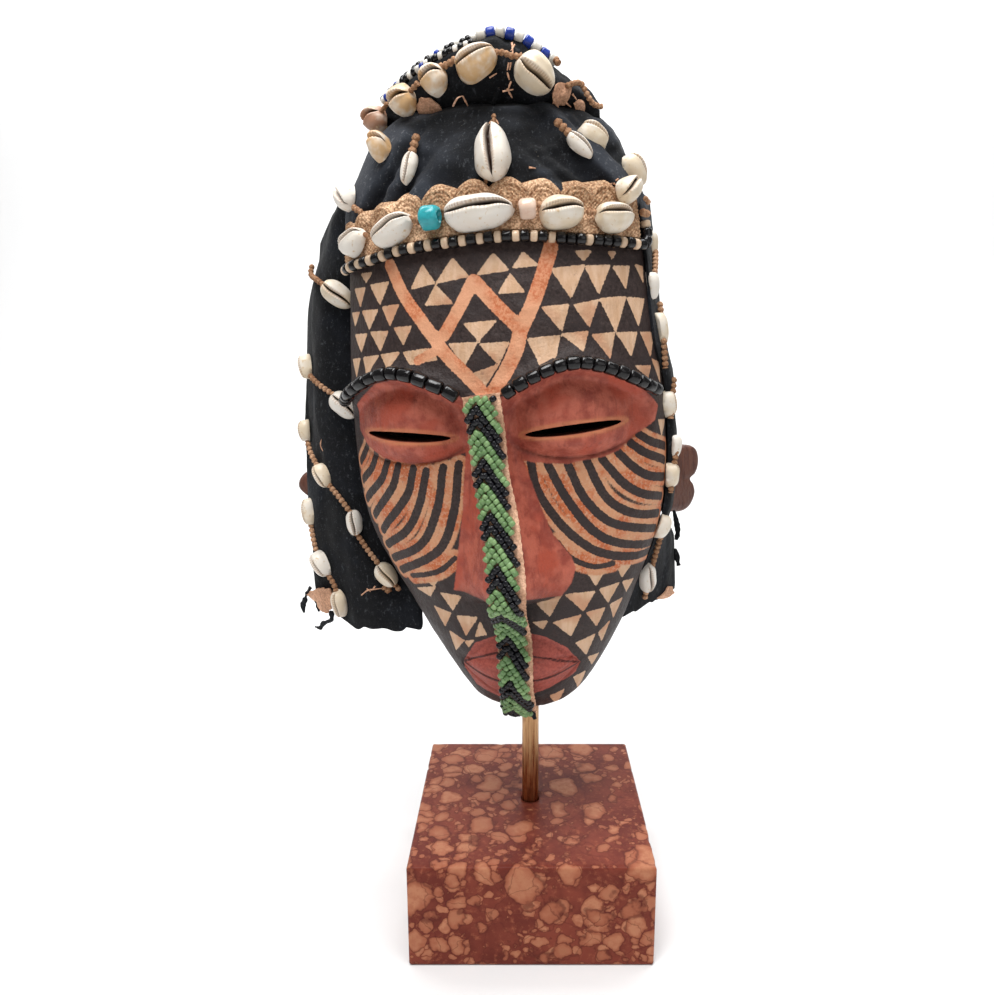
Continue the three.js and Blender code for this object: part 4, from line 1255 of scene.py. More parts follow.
def cap_folds(places):
    """How far the cap's cloth stands out of its plain shape: gathered at the sides."""
    x, height = places[..., 0], places[..., 2]
    outward = np.abs(x)
    side = smooth(16, 48, outward + 10 * (x > 0)) * smooth(330, 340, height)
    side = side * (1 - 0.6 * smooth(374, 388, height))
    slanting = np.stack([0.75 * outward + 0.66 * height + 300 * (x > 0), places[..., 1],
                         0.66 * outward - 0.75 * height], -1)
    gathers = 1.7 * (np.abs(waves(slanting, 24, 41, (0.62, 2.2, 4.5))) - 0.7)
    creases = waves(places, 8, 42, (2.2, 2.0, 0.8))
    drape = waves(places, 30, 43, (2.0, 2.0, 0.7))
    drawn_in = 2.6 * smooth(52, 70, np.abs(x)) * bell(height - 366, 13)
    amount = -0.8 + 0.6 * drape + (0.3 + 2.3 * side) * gathers + (0.2 + 0.6 * side) * creases
    hem = bell(height - (386 - 0.004 * (x + 5) ** 2), 2.0) * smooth(10, -20, places[..., 1])
    # The second value, from the gathers and creases, sets a painted highlight on the folds' ridges
    return np.clip(amount + 1.1 * hem, -4.2, 1.9) - drawn_in, side * gathers + 0.3 * creases


def folded_cap():
    grid = cap_grid()
    normal = normals_of(grid, closed=True)
    amount, crest_line = cap_folds(grid)
    outer = grid + normal * amount[..., None]
    inner = outer - normal * CLOTH_THICK
    rings = np.concatenate([inner[::-1], outer])
    # Painted highlight on the ridges of the folds, for the cloth's material
    ridge = smooth(-0.3, 1.4, np.concatenate([crest_line[::-1], crest_line])).ravel()
    points, faces = loft(rings, inner[-1].mean(0), outer[-1].mean(0))
    return (points, faces), np.concatenate([ridge, [0, 0]])


def folded_crest():
    stations = np.linspace(-60, 56, 150)
    rises = np.linspace(0, 360, 73)[:-1]
    grid = crest_surface(stations[:, None], rises[None])
    grid[..., 2] += 0.4
    along = waves(grid, 8, 51, (1.8, 0.8, 0.8))
    broad = waves(grid, 22, 52)
    middle = grid.mean(1, keepdims=True)
    out = grid - middle
    out /= np.linalg.norm(out, axis=-1)[..., None]
    pinch = 1.2 * bell(stations - 13, 2.0)[:, None]
    grid = grid + out * np.clip(0.6 * along + 0.8 * broad - pinch, -1.8, 1.6)[..., None]
    return loft(grid)


def hanging(surface, top, bottom, columns, rows, seed, folds, front_at, reach=(-1.8, 0.5)):
    """A hanging panel of thin cloth with upright folds and a worn lower edge."""
    share = np.linspace(0, 1, columns)
    row = np.linspace(0, 1, rows)[:, None]
    ragged = waves(np.column_stack([share * 90, share * 0, share * 0]), 9, seed + 5) * 0.8
    low = bottom(share) + ragged
    high = top(share)
    height = high + (low - high) * row
    middle = surface(np.broadcast_to(share, height.shape), height)
    normal = normals_of(middle[::-1])[::-1]
    upright = waves(middle, 20, seed, (0.7, 0.7, 5.0)) * folds
    soft = waves(middle, 34, seed + 1) * 0.6
    crumple = waves(middle, 9, seed + 2, (1, 1, 1.4)) * 0.28
    place = np.clip(upright + soft + crumple - 0.4, *reach)
    front = middle + normal * (front_at + place)[..., None]
    back = front - normal * CLOTH_THICK
    return loft(np.concatenate([front, back[:, ::-1]], 1))


def left_top(share):
    return 346 + 11 * smooth(0, 0.8, share)


def right_bottom(share):
    return 124 + 3 * share


def left_bottom(share):
    return 115.5 + 16 * (1 - smooth(0, 0.35, share)) + 11 * smooth(0.86, 1, share)


# Raffia headband with a scalloped edge
BEAD_RADIUS = 2.9
BAND_THICK = 2.8
BAND_FROM, BAND_TO = -0.8, 0.75
SCALLOPS = 11
bead_line = through(
    (-0.8, 316), (-0.5, 318.2), (-0.35, 320.5), (-0.15, 321.8), (0.14, 322.6), (0.3, 320.4),
    (0.55, 318.2), (0.78, 317.2),
)
band_top = through(
    (-0.8, 339), (-0.45, 345), (-0.15, 350), (0.1, 350.5), (0.4, 347), (0.7, 347.5), (0.78, 345)
)


def headband():
    columns, rows = 400, 60
    share = np.linspace(0, 1, columns)
    t = lerp(BAND_FROM, BAND_TO, share)
    lobe = np.abs(np.sin(share * SCALLOPS * math.pi))
    low = bead_line(t) + BEAD_RADIUS + 0.3
    high = band_top(t) + 5.2 * (lobe ** 0.8 - 1)
    row = np.linspace(0, 1, rows)[:, None]
    height = low + (high - low) * row
    base = crown(np.broadcast_to(t, height.shape), height)
    normal = normals_of(base)
    girth = run_along(base[0])
    across = (share * SCALLOPS % 1 - 0.5) * girth[-1] / SCALLOPS
    centre = band_top(t) - 9.5
    radius = np.hypot(across, height - centre)
    rings = 0.28 * np.cos(radius * 2 * math.pi / 2.1) * smooth(-3, 4, height - centre)
    weave = 0.3 * np.cos(girth * 2 * math.pi / 1.9) * np.cos(height * 2 * math.pi / 1.9)
    valley = -0.7 * (1 - smooth(0.0, 0.35, lobe)) * smooth(-6, 5, height - centre)
    edge = 1 - smooth(0.9, 1.0, row)
    bumps = rings + weave + valley + 0.35 * waves(base, 12, 61) + 0.12 * waves(base, 2.4, 62)
    front = base + normal * (0.7 + (BAND_THICK - 0.5 + bumps) * (0.35 + 0.65 * edge))[..., None]
    back = base + normal * 0.7
    # Painted shade in the dips of the weave and rings, and in the valleys between the scallops
    hollow = np.clip(-(weave + 0.4 * rings + valley) * 0.7, 0, 1)
    points, faces = loft(np.concatenate([front, back[:, ::-1]], 1))
    both = np.concatenate([hollow, hollow[:, ::-1]], 1).ravel()
    return (points, faces), np.concatenate([both, [0, 0]])


# Beads
def bead(length, radius, bore, sides=14, rounding=0.35):
    """A drilled tube bead along x, with rounded ends."""
    end = length / 2
    soft = min(length, radius) * rounding
    profile = [(bore, -end + soft * 0.6), (bore + soft * 0.4, -end), (radius - soft, -end)]
    for angle in (30, 60, 90):
        a = math.radians(angle)
        profile.append((radius - soft + soft * math.sin(a), -end + soft * (1 - math.cos(a))))
    profile += [(r, -x) for r, x in reversed(profile)]
    profile = np.array(profile)
    angle = circle(sides)
    rings = np.stack([
        np.broadcast_to(profile[:, 1:], (len(profile), sides)),
        profile[:, :1] * np.cos(angle), profile[:, :1] * np.sin(angle),
    ], -1)
    points = rings.reshape(-1, 3)
    faces = quads(len(profile), sides)
    ring = np.arange(sides)
    after = (ring + 1) % sides
    last = (len(profile) - 1) * sides
    inner = np.stack([last + ring, last + after, after, ring], -1)
    faces = np.concatenate([faces, inner])
    if volume(points, faces) < 0:
        faces = faces[:, ::-1]
    return points, faces.tolist()


def facing(at, along, out):
    place = np.eye(4)
    place[:3, 0] = along
    place[:3, 2] = out
    place[:3, 1] = np.cross(out, along)
    place[:3, 3] = at
    return place


BLACK = rgb(15, 13, 14)[:3]
CREAM = rgb(206, 180, 152)[:3]
WHITE = rgb(222, 218, 210)[:3]
BLUE = rgb(40, 62, 150)[:3]
GREEN = rgb(134, 166, 112)[:3]
DEEP_GREEN = rgb(92, 124, 78)[:3]
TURQUOISE = rgb(52, 158, 166)[:3]
PINKISH = rgb(222, 194, 174)[:3]


BEAD_BORE = 0.7


def strung(path, outward, lengths, radii, tints, seed, spread=0.5):
    """Beads one after another along a path, as one piece, with a tint for each."""
    rng = np.random.default_rng(seed)
    run = run_along(path)
    scale = run[-1] / np.sum(lengths)
    centres = (np.cumsum(lengths) - np.asarray(lengths) / 2) * run[-1] / np.sum(lengths)
    along, out, _ = frames_along(path, outward)
    parts, tint = [], []
    for centre, length, radius, shade in zip(centres, lengths, radii, tints):
        at, line, up = (np.array([np.interp(centre, run, column) for column in values.T])
                        for values in (path, along, out))
        line = line + rng.normal(0, 0.05, 3) * spread
        line /= np.linalg.norm(line)
        up = up - (up @ line) * line
        up /= np.linalg.norm(up)
        at = at + up * rng.normal(0, 0.15) * spread
        size = radius * rng.uniform(0.94, 1.04)
        parts.append(moved(bead(length * scale * rng.uniform(0.9, 0.97), size, BEAD_BORE),
                           facing(at, line, up)))
        tint.append(np.array(shade) * rng.uniform(0.85, 1.15))
    points, faces, owner = merged(parts)
    return (points, faces), np.array(tint)[owner], np.zeros(len(points))


def headband_beads():
    lift = BEAD_RADIUS + 0.5
    places = [lifted(crown, t, float(bead_line(t)), lift)
              for t in np.linspace(BAND_FROM, BAND_TO, 15)]
    places += [lifted(crown, 0.8, 320, lift), lifted(crown, 0.805, 329, lift)]
    path = smooth_path(places, 1.5)
    count = 43
    dark = [i % 2 == 1 for i in range(count)]
    for twice in (30, 34, 40):
        dark[twice] = True
    lengths = [5.6 if d else 4.4 for d in dark]
    rng = np.random.default_rng(71)
    tints = [BLACK if d else CREAM for d in dark]
    radii = [BEAD_RADIUS * (1.0 if d else 0.9) * rng.uniform(0.95, 1.03) for d in dark]
    return strung(path, (0, -1, 0), lengths, radii, tints, 72)


def brow_beads(side, reach, count, seed):
    def carved(x, height):
        return point(x, face_depth(x, height), height)

    places = [lifted(carved, FACE_SKEW + side * out, float(brow_line(out)), 3.6)
              for out in np.linspace(10.5, reach, 12)]
    path = smooth_path(places, 1.2)
    rng = np.random.default_rng(seed)
    lengths = list(rng.uniform(5.4, 6.8, count))
    return strung(path, (0, -1, 0), lengths, [3.35] * count, [BLACK] * count, seed + 1)


def crest_beads():
    def lift_at(share):
        return 1.2 + 1.0 * float(smooth(0.6, 0.8, share))

    places = [lifted(crest_surface, lerp(-54, 35, share), lerp(55, 61, share), lift_at(share))
              for share in np.linspace(0, 1, 18)]
    path = smooth_path(places, 1.0)
    lengths, radii, tints = [], [], []
    small = [BLACK, WHITE, BLACK, WHITE, BLUE, WHITE, BLACK, BLACK, WHITE, BLACK]
    for i in range(22):
        lengths.append(3.1)
        radii.append(2.1)
        tints.append(small[i % len(small)])
    large = [WHITE, BLUE, WHITE, BLUE, WHITE, BLUE, WHITE, BLUE, WHITE]
    for shade in large:
        lengths.append(5.2)
        radii.append(2.8)
        tints.append(shade)
    upper = strung(path, (0, 0, 1), lengths, radii, tints, 75, 0.7)
    places = [lifted(crest_surface, lerp(-53, -1, share), 38, 1.3)
              for share in np.linspace(0, 1, 12)]
    lower = strung(smooth_path(places, 1.0), (0, 0, 1), lengths[:22], radii[:22],
                   tints[3:22] + tints[:3], 76, 0.7)
    points, faces, _ = merged([upper[0], lower[0]])
    return (points, faces), np.concatenate([upper[1], lower[1]]), np.zeros(len(points))


STRIP_WIDTH = 17
STRIP_THICK = 4
STRIP_STATIONS = (
    (252, -3.6, 59.6), (244, -3, 59.6), (235, -2.5, 58), (211, -1, 58.4), (182, 1.5, 61.8),
    (165, 2.5, 64), (154, 2.6, 64.4), (149, 2.4, 63), (142, 2, 55), (133, 1.6, 45.5),
    (124, 1.6, 41.8), (115, 1.5, 43.2), (106, 1.4, 42.6), (97, 1, 40.6), (88, 0.4, 34.6),
    (80, -0.2, 28), (75.5, -0.5, 23.5),
)


def strip_path(spacing):
    return smooth_path([point(x, depth, height) for height, x, depth in STRIP_STATIONS], spacing)


def strip_cloth():
    path = strip_path(1.4)
    _, out, side = frames_along(path, (0, -1, 0))
    share = np.linspace(-0.5, 0.5, 17)
    run = np.arange(len(path))[:, None] * 1.4
    sway = waves(path, 30, 81)[:, None] * 0.5
    frayed = 0.25 * np.cos(run * 2 * math.pi / 2.2) * (np.abs(share) > 0.45) * np.sign(share)
    across = share * (STRIP_WIDTH + 0.8) + 0.5 + frayed + sway
    middle = path[:, None] + side[:, None] * across[..., None]
    edge = (np.abs(share) * 2) ** 4
    weave = 0.12 * np.cos(run * 4) * np.cos(across * 4)
    front = middle + out[:, None] * (-0.9 - 0.2 * edge + weave)[..., None]
    back = middle + out[:, None] * (-STRIP_THICK / 2 + 0.1)
    return loft(np.concatenate([front, back[:, ::-1]], 1))


STRIP_PERIOD = 25.7
STRIP_RIDGE = -3.2
STRIP_SHIFT = 11.6
STRIP_MARGIN = 0.8
SEED_PITCH = 2.6
SEED_BLACK = rgb(14, 14, 20)[:3]
STRIP_SIDES = (
    {"towards": 1, "slope": 1.87, "strings": 4, "green": 2, "reach": 10.4},
    {"towards": -1, "slope": 1.2, "strings": 5, "green": 3, "reach": 4.8},
)


def strip_beads():
    """Seed beads on slanting strings, which meet in chevrons of green and black."""
    rng = np.random.default_rng(83)
    spacing = 0.5
    path = strip_path(spacing)
    along, out, side = frames_along(path, (0, -1, 0))
    seed_bead = bead(2.55, 1.62, 0.5, 10, 0.5)
    parts, tints = [], []

    def put(across, run, slant, green):
        at = int(round(run / spacing))
        turned = side[at] * math.cos(slant) + along[at] * math.sin(slant) + rng.normal(0, 0.1, 3)
        turned /= np.linalg.norm(turned)
        up = out[at] - (out[at] @ turned) * turned
        up /= np.linalg.norm(up)
        lift = rng.normal(0.8 if green else 0.3, 0.1)
        place = facing(path[at] + side[at] * (across + rng.normal(0, 0.12))
                       + along[at] * rng.normal(0, 0.12) + out[at] * lift, turned, up)
        place[:3, :3] *= rng.uniform(0.95, 1.05) * (1.04 if green else 1.08)
        parts.append(moved(seed_bead, place))
        shade = lerp(np.array(GREEN), np.array(DEEP_GREEN), rng.uniform(0, 1))
        tints.append(shade if green else np.array(SEED_BLACK))

    length = (len(path) - 1) * spacing
    for half in STRIP_SIDES:
        step = STRIP_PERIOD / half["strings"]
        slant = math.atan2(half["slope"], half["towards"])
        for line in range(-2 * half["strings"], int(length / step) + 3):
            green = line % half["strings"] < half["green"]
            gone = 0.5 + rng.uniform(0, 0.3)
            while gone < half["reach"]:
                run = (line + 0.5) * step - STRIP_SHIFT + half["slope"] * gone
                if STRIP_MARGIN < run < length - STRIP_MARGIN:
                    put(STRIP_RIDGE + half["towards"] * gone, run, slant, green)
                gone += SEED_PITCH * abs(math.cos(slant))
    points, faces, owner = merged(parts)
    return (points, faces), np.array(tints)[owner], np.zeros(len(points))


def drum(length, radius, seat_place, tint, bore):
    part = moved(bead(length, radius, bore, 32, 0.45), np.array([
        [1, 0, 0, 0], [0, 1, 0, 0], [0, 0, 1, radius], [0, 0, 0, 1.0]]))
    points, faces = moved(part, seat_place)
    points = points + (waves(points, 5, 91) * 0.15)[:, None]
    return (points, faces), np.tile(np.array(tint), (len(points), 1)), np.zeros(len(points))


# Cowrie shells
SHELL_SUNK = 0.7


def cowrie(length, width, number, skew):
    """A shell with its back cut flat: long along x, its toothed slit facing +z."""
    rng = np.random.default_rng(500 + number)
    station = np.sin(math.pi / 2 * np.linspace(-1, 1, 66))[1:-1][:, None]
    even = np.linspace(-1, 1, 49)
    across = np.sign(even) * np.abs(even) ** 1.5
    skew = skew + rng.uniform(-0.05, 0.05)
    full = np.sqrt(1 - np.abs(station) ** 2.5) * (1 - 0.13 * station)
    dome = np.sqrt(np.maximum(0, 1 - np.abs(across) ** 2.8))
    slit_at = skew + 0.07 * np.sin(station * 2.6) + 0.02
    off = across - slit_at
    open_here = smooth(1.0, 0.86, np.abs(station))
    gap = (0.06 + 0.045 * (1 + station) / 2) * rng.uniform(0.9, 1.25)
    groove = bell(off, gap * 1.25) * open_here
    tooth = 0.5 + 0.5 * np.cos(station * length / 2 * 2 * math.pi / 1.25)
    beside = bell(np.abs(off) - 0.2, 0.1) * open_here
    lip = 0.07 * bell(np.abs(off) - 0.32, 0.16) * open_here
    up = dome + lip - 0.6 * groove + 0.05 * (tooth - 0.5) * beside
    high = width * 0.62
    top = np.stack([
        np.broadcast_to(station * length / 2, up.shape),
        across * full * width / 2,
        up * high * (0.35 + 0.65 * full) * smooth(1.0, 0.9, np.abs(station) * 0.999),
    ], -1)
    top[..., 2] = np.maximum(top[..., 2], 0)
    inner = np.linspace(1, -1, 8)[1:-1]
    under = np.stack([
        np.broadcast_to(station * length / 2, (len(station), len(inner))),
        inner * full * width / 2 * 0.97,
        np.full((len(station), len(inner)), -SHELL_SUNK),
    ], -1)
    rings = np.concatenate([top, under], 1)
    rings += waves(rings, 7, 600 + number)[..., None] * 0.12
    tip = high * 0.22
    points, faces = loft(rings, np.array([-length / 2, 0, tip]), np.array([length / 2, 0, tip]))
    blank = np.zeros((len(station), len(inner)))
    # Painted shade in the slit's groove, and at the two end points
    hollow = np.concatenate([np.clip(groove * 1.5 - 0.25, 0, 1), blank], 1).ravel()
    teeth = np.concatenate([np.clip((1 - tooth) * beside, 0, 1) * 0.7, blank], 1).ravel()
    ends = [0.4, 0.4]
    return points, faces, np.concatenate([hollow, ends]), np.concatenate([teeth, [0, 0]])


SHELL_TINTS = {
    "white": rgb(228, 221, 211)[:3],
    "cream": rgb(218, 201, 175)[:3],
    "warm": rgb(204, 166, 120)[:3],
    "brown": rgb(174, 130, 104)[:3],
}


def shells(entries):
    """Several shells as one set of arrays: each has a seat, length, width, tint, number, skew."""
    parts, hollow, teeth, tint = [], [], [], []
    for place, length, width, shade, number, skew in entries:
        points, faces, deep, ridged = cowrie(length, width, number, skew)
        parts.append(moved((points, faces), place))
        hollow.append(deep)
        teeth.append(ridged)
        tint.append(np.tile(np.array(SHELL_TINTS[shade]), (len(points), 1)))
    points, faces, _ = merged(parts)
    return (points, faces), np.concatenate(tint), np.concatenate(hollow), np.concatenate(teeth)


def put_shells(name, entries, node):
    part, tint, hollow, teeth = shells(entries)
    return masked(name, part, LOOKS["shell"], "shell", [node], 70,
                  tint=tint, hollow=hollow, teeth=teeth)


def knotted(places, outward, radius=1.5, pitch=2.8):
    """A wrapped raffia cord: a chain of small lumps, with painted shade between them."""
    path = smooth_path(places, 0.35)
    run = np.arange(len(path)) * 0.35
    lump = np.abs(np.sin(math.pi * run / pitch)) ** 0.7
    points, faces = tube(path, radius * (0.6 + 0.48 * lump), outward, 14, 2.2, 3, 0.08)
    return points, faces, np.concatenate([np.repeat(1 - lump, 14), [0.5, 0.5]])


def cords(name, lines):
    """Several wrapped cords as one piece."""
    points, faces, _ = merged([line[:2] for line in lines])
    return masked(name, (points, faces), LOOKS["cord"], "raffia",
                  hollow=np.concatenate([line[2] for line in lines]))


ON_BAND = 0.5 + 0.2 + BAND_THICK + 0.9
BAND_SHELLS = {
    "cowrie_band_1": (-62.5, 327.5, 16, 12.5, 30, "white"),
    "cowrie_band_2": (-41.3, 331, 22.5, 13.5, 24, "white"),
    "cowrie_band_3": (-0.3, 334.6, 33, 16.5, 2, "white"),
    "cowrie_band_4": (36.3, 332, 21, 15.5, 2, "cream"),
    "cowrie_band_5": (58.3, 328.5, 19, 14, -3, "cream"),
    "cowrie_band_6": (65, 342, 15, 12, 35, "cream"),
}
CAP_SHELLS = {
    "cowrie_cap_left": (-47.5, 369.5, 8.5, 15.5, 12, "warm"),
    "cowrie_cap_shoulder": (-68.5, 350.5, 14, 13, -45, "white"),
    "cowrie_cap_front": (6.3, 361.8, 27, 17, 90, "white"),
    "cowrie_cap_right_1": (53, 369.3, 15.5, 12.5, -38, "cream"),
    "cowrie_cap_right_2": (70.5, 352.8, 17, 12, -62, "cream"),
}
CREST_SHELLS = {
    "cowrie_crest_1": (-54.5, -10, 10.5, 15, 14, "brown"),
    "cowrie_crest_2": (-37.2, -12, 12, 15.5, 8, "warm"),
    "cowrie_crest_3": (-20.2, -4, 12, 15, 14, "warm"),
    "cowrie_crest_4": (0.2, 1, 20.5, 15.5, 17, "warm"),
    "cowrie_crest_5": (26, -6, 20.5, 17, -24, "cream"),
}
STRINGS = {
    "shell_string_left_1": (left_panel, (((0.03, 323), (0.12, 318), (0.4, 314), (0.6, 310)),),
                            ((0.77, 306, 19, 12, -42),)),
    "shell_string_left_2": (left_panel, (((0.25, 264), (0.45, 259), (0.8, 250)),),
                            ((0.2, 268.5, 14, 9, -78), (0.84, 246.5, 18, 12, -48))),
    "shell_string_left_3": (left_panel, (
        ((0.1, 228), (0.2, 220), (0.36, 211)), ((0.5, 203), (0.66, 194), (0.77, 184)),
        ((0.74, 175), (0.8, 163), (0.85, 151)), ((0.86, 146), (0.89, 139)),
    ), ((0.1, 232, 13, 8, -88), (0.43, 207.5, 14.5, 9.5, -62), (0.76, 180, 15, 9, -88),
        (0.85, 148.5, 16, 11, -55))),
    "shell_string_left_4": (left_panel, (
        ((0.06, 180), (0.1, 169), (0.15, 158)), ((0.2, 151), (0.29, 143), (0.3, 136)),
    ), ((0.06, 184, 16.5, 8.5, -88), (0.2, 154, 16.5, 11, -58), (0.3, 130.5, 17, 9.5, -88))),
    "shell_string_right_1": (right_panel, (((0.5, 316), (0.35, 309), (0.12, 300)),),
                             ((0.5, 319.5, 14, 8, -85), (0.12, 298, 14, 9, -85))),
    "shell_string_right_2": (right_panel, (((0.3, 290), (0.22, 281)), ((0.16, 272), (0.05, 258))),
                             ((0.2, 276.5, 17, 9, -86),)),
    "shell_string_right_3": (right_panel, (((0.3, 252), (0.14, 240), (0.08, 231)),),
                             ((0.1, 238.5, 14, 8.5, -80),)),
    "shell_string_right_4": (right_panel, (((0.26, 220), (0.16, 206), (0.12, 192)),),
                             ((0.26, 216, 13, 8.5, -85), (0.14, 201, 14, 9.5, -72))),
    "shell_string_right_5": (right_panel, (
        ((0.1, 174), (0.12, 163), (0.18, 148)), ((0.2, 142), (0.26, 131)),
    ), ((0.12, 174, 14, 9, -88), (0.2, 144, 18.5, 10.5, -84))),
}


# Degrees by which the shells at the right are turned outwards, and the low ones inwards
OUTWARDS, INWARDS = 43, -30
LOW_SHELLS_UNDER = 160


def fold_lift(place):
    """How far the folded cap stands out at a seat on it."""
    return float(cap_folds(place[:3, 3][None])[0][0])


def sideways(place, degrees):
    """A seat turned about the vertical, to face further to the side, and set further in."""
    turned = place.copy()
    turned[:3, :3] = np.array(Matrix.Rotation(math.radians(degrees), 3, "Z")) @ place[:3, :3]
    turned[0, 3] -= 0.05 * max(degrees, 20)
    return turned


def make_shells():
    number = 0
    for node, (x, height, length, width, turn, shade) in BAND_SHELLS.items():
        number += 1
        place = on_head(x, height, turn, ON_BAND)
        put_shells("sewn_" + node, [(place, length, width, shade, number, 0.26)], node)
    for node, (x, height, length, width, turn, shade) in CAP_SHELLS.items():
        number += 1
        lift = 0.8 + fold_lift(on_head(x, height, turn, 0))
        place = on_head(x, height, turn, lift)
        put_shells("sewn_" + node, [(place, length, width, shade, number, 0.1)], node)
    for node, (x, rise, length, width, turn, shade) in CREST_SHELLS.items():
        number += 1
        place = seat(crest_surface, x, rise, turn, 1.9)
        skew = 0.3 if turn > 0 else -0.22
        put_shells("sewn_" + node, [(place, length, width, shade, number, skew)], node)
    for node, x, height, length, turn in (
        ("cowrie_pendant_left", -34.5, 359.4, 16, -102),
        ("cowrie_pendant_right", 46.1, 363.3, 15.5, -52),
    ):
        number += 1
        place = on_head(x, height, turn, 0.8 + fold_lift(on_head(x, height, turn, 0)))
        put_shells("sewn_" + node, [(place, length, 7.5, "white", number, 0.15)], node)
        line = [place[:3, :3] @ np.array([-length * 0.42 - out, 0, 1.6]) + place[:3, 3]
                for out in np.linspace(0, 9.5, 6)]
        cords("cord_" + node, [knotted(line, place[:3, 2], 1.9, 3.1)])
    for node, (surface, runs, entries) in STRINGS.items():
        on_cloth = CLOTH / 2 if surface is left_panel else 0.9
        on_string = []
        for share, height, length, width, turn in entries:
            number += 1
            shade = "cream" if number % 3 else "white"
            place = seat(surface, share, height, turn, on_cloth + 0.3)
            if surface is right_panel:
                place = sideways(place, OUTWARDS if height > LOW_SHELLS_UNDER else INWARDS)
            on_string.append((place, length, width, shade, number, 0.12))
        put_shells("sewn_" + node, on_string, node)
        cords("cord_" + node, [knotted([lifted(surface, share, height, on_cloth + 1.2)
                                        for share, height in places], (0, -1, 0))
                               for places in runs])


# Small things sewn to the hood and its shells, or torn from them, placed on enlargements
TOP = (330, 20, 6)
LEFT_CORNER = (285, 430, 6)
RIGHT_CORNER = (635, 500, 6)
CHIN_END = (470, 640, 6)


def on_cap(x, height, lift):
    place = on_head(x, height, 0, 0)
    folds = fold_lift(place) if height > CAP_BOTTOM else 0
    return place[:3, 3] + place[:3, 2] * (lift + folds)


def on_band(x, height, lift):
    return on_head(x, height, 0, ON_BAND + lift)[:3, 3]


def on_crest(x, height, lift):
    half = (crest_high(x) - crest_low(x)) / 2
    share = np.clip((height - crest_low(x) - half) / max(half, 1), -0.97, 0.97)
    return lifted(crest_surface, x, math.degrees(math.asin(share)), lift + 1)


def on_panel(surface):
    shares = np.linspace(-0.25, 1.15, 57)

    def place(x, height, lift):
        across = surface(shares, height)[:, 0]
        last = int(np.argmax(across)) + 1
        return lifted(surface, np.interp(x, across[:last], shares[:last]), height, lift)

    return place


RIGHT_EDGE_DEPTH = -34


def on_right_edge(x, height, lift):
    return point(x, RIGHT_EDGE_DEPTH + lift, height)


strip_depth = through(*[(height, depth) for height, _, depth in STRIP_STATIONS[::-1]])


def on_strip(x, height, lift):
    return point(x, strip_depth(height) + lift, height)


def placed(window, place_on, lift, places):
    """Points over a surface from places on an enlargement of the photograph."""
    left, top, scale = window

    def depth_at(x, height):
        return -place_on(float(x), float(height), 0)[1]

    found = []
    for across, down in places:
        x, height = seen_on(depth_at, left + across / scale, top + down / scale, 10.0, 14)
        found.append(place_on(float(x), float(height), lift))
    return np.array(found)


def strand(places, widths, flat=1.0, seed=0):
    """A thread or a narrow shred of cloth, as thick along its length as the widths say."""
    path = smooth_path(places, 0.5)
    share = np.linspace(0, 1, len(path))
    radius = np.interp(share, np.linspace(0, 1, len(widths)), widths)
    radius = radius * (1 + 0.15 * waves(path, 2.5, 700 + seed))
    points, faces = tube(path, radius, (0, -1, 0), 9, flat=flat)
    return points, faces, np.zeros(len(points))


def torn(place_on, outline, lift, seed):
    """A small torn bit of cloth over a surface, inside an outline of (x, height) places."""
    closed = np.column_stack([outline, np.zeros(len(outline))])
    edge = smooth_path(np.vstack([closed, closed[:1]]), 0.8)[:-1, :2]
    centre = edge.mean(0)
    ragged = 1 + 0.08 * waves(np.column_stack([edge, edge[:, 0] * 0]), 3, 720 + seed)
    rings = []
    for share, side in [(s, 0) for s in np.linspace(0.12, 1, 8)] + [
            (s, 1) for s in np.linspace(1, 0.12, 8)]:
        flat = centre + (edge - centre) * (share * ragged)[:, None]
        rings.append([place_on(float(x), float(height), lift - 0.9 * side) for x, height in flat])
    points, faces = loft(np.array(rings))
    points = points - np.array([0, 0.35, 0]) * waves(points, 4, 740 + seed)[:, None]
    return points, faces, np.clip(0.2 * waves(points, 3, 760 + seed), 0, 1)


def bits(name, look, slot, parts):
    """Several small things of one material as one piece."""
    points, faces, _ = merged([part[:2] for part in parts])
    return masked(name, (points, faces), LOOKS[look], slot, (), 60,
                  hollow=np.concatenate([part[2] for part in parts]))


CREST_CORDS = (
    (((262, 690), (300, 625), (332, 560), (372, 505)), 1.2),
    (((468, 470), (505, 430), (550, 385)), 1.4),
    (((672, 300), (720, 282), (770, 250)), 1.6),
    (((985, 212), (1040, 215), (1085, 232), (1140, 236)), 1.4),
    (((1332, 272), (1340, 285), (1350, 296)), 1.6),
    (((1395, 402), (1445, 396), (1482, 408), (1515, 455), (1555, 500), (1596, 522)), 1.3),
)
BAND_CORDS = (
    (((222, 1320), (252, 1300)), 1.3), (((486, 1194), (552, 1212)), 1.5),
    (((652, 1160), (702, 1142)), 1.5), (((1090, 1104), (1150, 1128)), 1.9),
    (((1232, 1112), (1268, 1124)), 1.4), (((1516, 1162), (1604, 1168)), 1.3),
    (((1816, 1165), (1852, 1192)), 1.7), (((1832, 1078), (1855, 1112)), 1.2),
)
CAP_CORDS = (
    (((985, 572), (985, 632)), 1.1), (((930, 955), (952, 962)), 1.9),
    (((165, 1128), (192, 1150), (214, 1176)), 1.5), (((1862, 952), (1872, 978)), 1.4),
)
